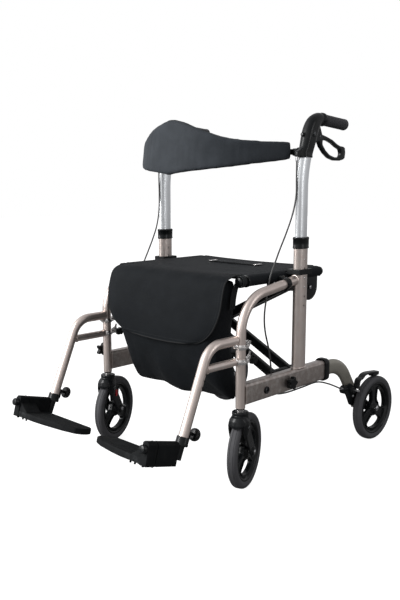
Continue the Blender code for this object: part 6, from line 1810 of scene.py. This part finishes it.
def fold_field(x, z):
    """Slanted and hanging folds of the slack cloth below the flap."""
    slack = min(1.0, max(0.0, (0.40 - z) / 0.12))
    wander = 2.0 * noise.noise(Vector((x * 5, z * 7, 2.0)))
    slant = math.sin(38 * (x * 0.9 + z * 0.8) + wander)
    hang = math.sin(46 * x + 3.0 * noise.noise(Vector((x * 3, z * 3, 7.0))))
    fine = noise.noise(Vector((x * 26, z * 18, 5.0)))
    return slack * (0.0050 * slant + 0.0020 * hang) + 0.0018 * fine


def pouch_shape():
    """Slack pouch: rings from top to bottom, narrower and rounder towards its floor."""
    rings = []
    for (z, front), (_, back) in zip(POUCH_FRONT, POUCH_BACK):
        t = (0.544 - z) / (0.544 - 0.220)
        half = BAG_HALF - 0.006 - 0.021 * min(1.0, t / 0.45) ** 1.5
        centre, depth = (front + back) / 2, (back - front)
        ring = round_corners([(half, depth / 2), (-half, depth / 2), (-half, -depth / 2), (half, -depth / 2)],
                             min(0.030, depth * 0.42), 8)
        fine = []
        for a, b in zip(ring, ring[1:] + ring[:1]):
            count = 24 if math.dist(a, b) > 0.1 else 1
            fine += [(a[0] + (b[0] - a[0]) * k / count, a[1] + (b[1] - a[1]) * k / count) for k in range(count)]
        sag = 0.010 * t
        rings.append([(u + 0.008 * t, centre + v, z - sag * (1 - (u / BAG_HALF) ** 2)) for u, v in fine])
    return loft(rings)


def make_pouch(body):
    shape = pad_skin(pouch_shape(), 1.6, 0.007)
    for vert in shape.verts:
        facing = max(0.0, -vert.normal.y)
        vert.co += vert.normal * (fold_field(vert.co.x, vert.co.z) * (0.35 + 0.65 * facing))
        at_side = abs(vert.co.x) > 0.18
        vert.co.x += 0.0022 * noise.noise(Vector((vert.co.y * 30, vert.co.z * 16, 9.0))) * at_side
    shape = through(shape, ("SMOOTH", {"factor": 0.5, "iterations": 3}),
                    ("SUBSURF", {"levels": 1, "render_levels": 1}))
    pouch = put("bag_pouch", shape, "bag_nylon", body, 1, None, ["bag"], 0)
    thread_map(pouch, lambda p, n: (p.y if abs(n.x) > 0.75 else p.x, p.z if abs(n.z) < 0.75 else p.y))
    return pouch


def make_flap(body):
    """One sheet over the front rail line and down the pouch, its lower corners round."""
    spine = smooth_route([Vector((0, y, z)) for y, z in FLAP_PROFILE], 8)
    lengths = [0.0]
    for a, b in zip(spine, spine[1:]):
        lengths.append(lengths[-1] + (b - a).length)
    total = lengths[-1]
    columns = 96
    corner, inset_most = 0.115, 0.095
    shape = bmesh.new()
    uv = shape.loops.layers.uv.new("threads")
    marks, grid = {}, []
    for row, (spot, along) in enumerate(zip(spine, lengths)):
        left = total - along
        round_off = max(0.0, corner - left) / corner
        inward = inset_most * (1 - math.sqrt(max(0.0, 1 - round_off ** 2)))
        half = BAG_HALF + 0.002 + 0.006 * math.sin(math.pi * along / total) - inward
        ahead = spine[min(row + 1, len(spine) - 1)] - spine[max(row - 1, 0)]
        out = Vector((0, ahead.z, -ahead.y)).normalized()
        line = []
        hang = min(1.0, along / 0.10)
        for k in range(columns + 1):
            t = -1 + 2 * k / columns
            x = half * t
            broad = noise.noise(Vector((x * 9, along * 8, 11.0)))
            small = noise.noise(Vector((x * 24, along * 20, 3.0)))
            wave = hang * (0.0030 * broad + 0.0011 * small)
            wave += hang * 0.0020 * math.sin(30 * x + 2.5 * noise.noise(Vector((x * 4, along * 4, 8.0))))
            curl = -0.006 * abs(t) ** 8 * hang
            drop = 0.006 * (1 - t * t) * (along / total) ** 2
            place = spot + out * (wave + curl) + Vector((x, 0, -drop))
            vert = shape.verts.new(place)
            marks[vert] = (x, along)
            line.append(vert)
        grid.append(line)
    for a, b in zip(grid, grid[1:]):
        for k in range(columns):
            face = shape.faces.new((a[k], b[k], b[k + 1], a[k + 1]))
            for loop in face.loops:
                loop[uv].uv = marks[loop.vert]
    sides = [[line[end].co.copy() for line in grid[6:]] for end in (0, -1)]
    border = sides[0] + [v.co.copy() for v in grid[-1]][1:-1] + sides[1][::-1]
    inset, behind = 4, Vector((0, -0.0009, 0))
    seam = [line[2].co + behind for line in grid[6:-inset]]
    seam += [vert.co + behind for vert in grid[-inset][3:columns - 2]]
    seam += [line[-3].co + behind for line in grid[6:-inset]][::-1]
    if sum(f.normal.y for f in shape.faces) > 0:
        bmesh.ops.reverse_faces(shape, faces=shape.faces)
    shape = through(shape, ("SOLIDIFY", {"thickness": 0.0018, "offset": 0.0}))
    flap = put("bag_flap", shape, "bag_nylon", body, sharp=50, solid=False)
    piping = put("bag_flap_piping", cord_shape(border, 0.0020, 10), "piping", body)
    seams = put("bag_flap_stitching", stitches([seam], "dark_thread"), "dark_thread", body, sharp=0)
    return flap, piping, seams


def make_loops(body):
    """Webbing loops that hang the bag on the rails' front ends."""
    loops = []
    loop_y, loop_radius = -0.2105, 0.0146
    for sign in (1, -1):
        ring = [(sign * (PIVOT_X + loop_radius * math.cos(a)), loop_y, RAIL_Z + loop_radius * math.sin(a))
                for a in (math.radians(-210 + 15 * k) for k in range(25))]
        loops.append(sweep(ring, box_outline(0.0130, 0.0018, 0.0008, 2), Y))
        tail = smooth_route([(sign * (PIVOT_X - 0.0128), loop_y, 0.536),
                             (sign * (BAG_HALF + 0.001), loop_y - 0.004, 0.522),
                             (sign * (BAG_HALF - 0.001), loop_y - 0.008, 0.500),
                             (sign * (BAG_HALF - 0.003), loop_y - 0.010, 0.470)], 4)
        loops.append(sweep(tail, box_outline(0.0220, 0.0018, 0.0008, 2), Y))
    straps = put("bag_loops", join(*loops), "webbing", body)
    thread_map(straps, lambda p, n: (p.y, p.z + p.x))
    return straps


def make_bag():
    body = "left_seat_rail_body"
    for piece in (make_pouch(body), *make_flap(body), make_loops(body)):
        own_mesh(piece)


# Cables

def ferrule(side, hand, label, holder, end, inward, beyond):
    """Short sleeve over one end of the cable."""
    spot = Vector(CABLE_ROUTE[end])
    way = (spot - Vector(CABLE_ROUTE[inward])).normalized()
    tip = bar(spot - way * 0.012, spot + way * beyond, 0.0036, 0.0006, 24)
    return put(f"{side}_cable_ferrule_{label}", tip, "zinc_steel", f"{side}_{holder}", hand)


def make_cable(side, hand):
    route = smooth_route(CABLE_ROUTE, 5)
    shape = cord_shape(route, CABLE_RADIUS, 14)
    cable = put(f"{side}_cable_casing", shape, "cable_casing", None, hand, None, [f"{side}_brake_cable"])
    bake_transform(cable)
    upper, lower = [ferrule(side, hand, *values) for values in (("upper", "handle", 0, 1, 0.002),
                                                                ("lower", "frame", -1, -2, 0.001))]


# Stage

def area_light(name, place, target, size, size_y, power, colour=(1, 1, 1)):
    data = bpy.data.lights.new(name, "AREA")
    data.shape = "RECTANGLE"
    data.size, data.size_y, data.energy, data.color = size, size_y, power, colour
    light = bpy.data.objects.new(name, data)
    bpy.context.scene.collection.objects.link(light)
    light.location = place
    light.rotation_euler = (Vector(target) - Vector(place)).to_track_quat("-Z", "Y").to_euler()


def seen_or_else(nodes, seen, other):
    """One shader for what the camera sees, another one for all other rays."""
    camera_ray = nodes.add("ShaderNodeLightPath").outputs["Is Camera Ray"]
    return nodes.add("ShaderNodeMixShader", {0: camera_ray, 1: other, 2: seen})


def make_stage():
    s = settings().stage
    scene = bpy.context.scene
    data = bpy.data.cameras.new("photo_camera")
    data.lens, data.sensor_width = 43.54, 36
    camera = bpy.data.objects.new("photo_camera", data)
    camera.location = (1.4380, -1.5460, 0.7881)
    camera.rotation_euler = (math.radians(90 - 8.977), 0, math.radians(43.92))
    scene.collection.objects.link(camera)
    scene.camera = camera

    mesh = bpy.data.meshes.new("floor")
    mesh.from_pydata([(-14, -14, 0), (14, -14, 0), (14, 14, 0), (-14, 14, 0)], [], [(0, 1, 2, 3)])
    floor = bpy.data.objects.new("floor", mesh)
    scene.collection.objects.link(floor)
    material, t = new_material("studio_floor")
    soft = t.noise(t.place, 3.0, 2.0)
    wire(t, t.mix(t.math("MULTIPLY", soft, 0.05), colour4(s.floor_colour), (0.86, 0.86, 0.86, 1)), None, 0.85)
    t.shine(Specular_IOR_Level=0.15)
    glow_strength, glow_share = 1.40, 0.70
    glow = t.add("ShaderNodeEmission", {"Color": colour4(s.floor_colour), "Strength": glow_strength})
    pale = t.add("ShaderNodeMixShader", {0: glow_share, 1: t.shader, 2: glow})
    dim = t.add("ShaderNodeBsdfDiffuse", {"Color": (0.20, 0.20, 0.20, 1)})
    t.link(seen_or_else(t, pale, dim), t.tree.nodes["Material Output"].inputs["Surface"])
    mesh.materials.append(material)

    world = bpy.data.worlds.new("studio")
    scene.world = world
    world.use_nodes = True
    w = NodeTree(world.node_tree)
    room = world.node_tree.nodes["Background"]
    way = w.add("ShaderNodeTexCoord").outputs["Generated"]
    bright_side = (-0.40, -0.86, -0.12)
    facing = w.add("ShaderNodeVectorMath", {0: way, 1: bright_side}, operation="DOT_PRODUCT").outputs["Value"]
    w.link(w.mix(w.ramp(facing, -0.25, 0.95), (0.54, 0.54, 0.55, 1), (1.5, 1.5, 1.5, 1)), room.inputs["Color"])
    white = w.add("ShaderNodeBackground", {"Color": (1, 1, 1, 1), "Strength": 1.0})
    w.link(seen_or_else(w, white, room), world.node_tree.nodes["World Output"].inputs["Surface"])
    sun = bpy.data.lights.new("key_sun", "SUN")
    sun.energy, sun.angle = s.sun_power, math.radians(55)
    lamp = bpy.data.objects.new("key_sun", sun)
    scene.collection.objects.link(lamp)
    lamp.rotation_euler = Vector((0.42, 0.72, -0.62)).to_track_quat("-Z", "Y").to_euler()
    area_light("key_softbox", (-1.3, -2.6, 1.7), (0, 0, 0.45), 0.9, 2.0, s.key_power)
    area_light("fill_softbox", (2.8, 0.9, 1.4), (0, 0, 0.5), 0.5, 1.8, s.fill_power)
    scene.view_settings.view_transform = "Standard"


# Operators

class RollatorOperator:
    """What every operator shares."""
    bl_options = {"REGISTER", "UNDO"}


def each_side(*makers):
    for side, hand in SIDES:
        for maker in makers:
            maker(side, hand)


class ROLLATOR_OT_stage(RollatorOperator, bpy.types.Operator):
    """Camera, floor, backdrop and soft lights"""
    bl_idname = "rollator.stage"
    bl_label = "Stage"

    def execute(self, context):
        make_stage()
        return {"FINISHED"}


class ROLLATOR_OT_cables(RollatorOperator, bpy.types.Operator):
    """Brake cables with their ferrules"""
    bl_idname = "rollator.cables"
    bl_label = "Brake cables"

    def execute(self, context):
        each_side(make_cable)
        return {"FINISHED"}


class ROLLATOR_OT_frames(RollatorOperator, bpy.types.Operator):
    """Side frames: tubes, posts, beams, legs, mouths and knobs"""
    bl_idname = "rollator.frames"
    bl_label = "Side frames"

    def execute(self, context):
        each_side(make_frame, make_beam_fittings, make_mouths, make_rail_rest)
        return {"FINISHED"}


class ROLLATOR_OT_wheels(RollatorOperator, bpy.types.Operator):
    """Four wheels, casters, rear axles and brakes"""
    bl_idname = "rollator.wheels"
    bl_label = "Wheels and brakes"

    def execute(self, context):
        each_side(make_wheels, make_caster, make_brake)
        return {"FINISHED"}


class ROLLATOR_OT_handles(RollatorOperator, bpy.types.Operator):
    """Handle tubes, housings, grips and brake levers"""
    bl_idname = "rollator.handles"
    bl_label = "Handles"

    def execute(self, context):
        each_side(make_handle, make_grip, make_lever)
        return {"FINISHED"}


class ROLLATOR_OT_footrests(RollatorOperator, bpy.types.Operator):
    """Hangers, clamp rings, foot tubes and footplates"""
    bl_idname = "rollator.footrests"
    bl_label = "Footrests"

    def execute(self, context):
        each_side(make_hanger, make_clamps, make_latch, make_sleeve, make_foot_tube, make_footplate)
        return {"FINISHED"}


class ROLLATOR_OT_cross(RollatorOperator, bpy.types.Operator):
    """Crossed braces and seat rails"""
    bl_idname = "rollator.cross"
    bl_label = "Folding cross"

    def execute(self, context):
        make_cross()
        each_side(make_rail)
        return {"FINISHED"}


class ROLLATOR_OT_seat(RollatorOperator, bpy.types.Operator):
    """Seat cloth, its seams and the pull strap"""
    bl_idname = "rollator.seat"
    bl_label = "Seat"

    def execute(self, context):
        make_seat()
        return {"FINISHED"}


class ROLLATOR_OT_backrest(RollatorOperator, bpy.types.Operator):
    """Padded backrest band with piping and end plugs"""
    bl_idname = "rollator.backrest"
    bl_label = "Backrest"

    def execute(self, context):
        make_backrest()
        return {"FINISHED"}


class ROLLATOR_OT_bag(RollatorOperator, bpy.types.Operator):
    """Bag under the seat with its flap"""
    bl_idname = "rollator.bag"
    bl_label = "Bag"

    def execute(self, context):
        make_bag()
        return {"FINISHED"}


OPERATORS = (ROLLATOR_OT_stage, ROLLATOR_OT_cables, ROLLATOR_OT_frames, ROLLATOR_OT_wheels, ROLLATOR_OT_handles,
             ROLLATOR_OT_footrests, ROLLATOR_OT_cross, ROLLATOR_OT_seat, ROLLATOR_OT_backrest, ROLLATOR_OT_bag)


class ROLLATOR_PT_pieces(bpy.types.Panel):
    """Buttons and settings of the rollator"""
    bl_idname = "ROLLATOR_PT_pieces"
    bl_label = "Rollator"
    bl_space_type = "VIEW_3D"
    bl_region_type = "UI"
    bl_category = "Rollator"

    def draw(self, context):
        for operator in OPERATORS:
            self.layout.operator(operator.bl_idname)
        for group in (context.scene.rollator.finishes, context.scene.rollator.frame, context.scene.rollator.wheel,
                      context.scene.rollator.soft, context.scene.rollator.stage):
            box = self.layout.box()
            for name in group.bl_rna.properties.keys():
                if name not in ("rna_type", "name"):
                    box.prop(group, name)


CLASSES = (RollatorFinishes, RollatorFrameSizes, RollatorWheelSizes, RollatorSoftSizes, RollatorStage,
           RollatorSettings,
           *OPERATORS, ROLLATOR_PT_pieces)


def register():
    for item in CLASSES:
        bpy.utils.register_class(item)
    bpy.types.Scene.rollator = PointerProperty(type=RollatorSettings)


def unregister():
    del bpy.types.Scene.rollator
    for item in reversed(CLASSES):
        bpy.utils.unregister_class(item)


def main():
    register()
    for make_trees in (shader_groups, bent_tube_tree, screw_tree, stitch_tree, rib_tree):
        make_trees()
    for operator in OPERATORS:
        module, name = operator.bl_idname.split(".")
        getattr(getattr(bpy.ops, module), name)()


if __name__ == "__main__":
    main()
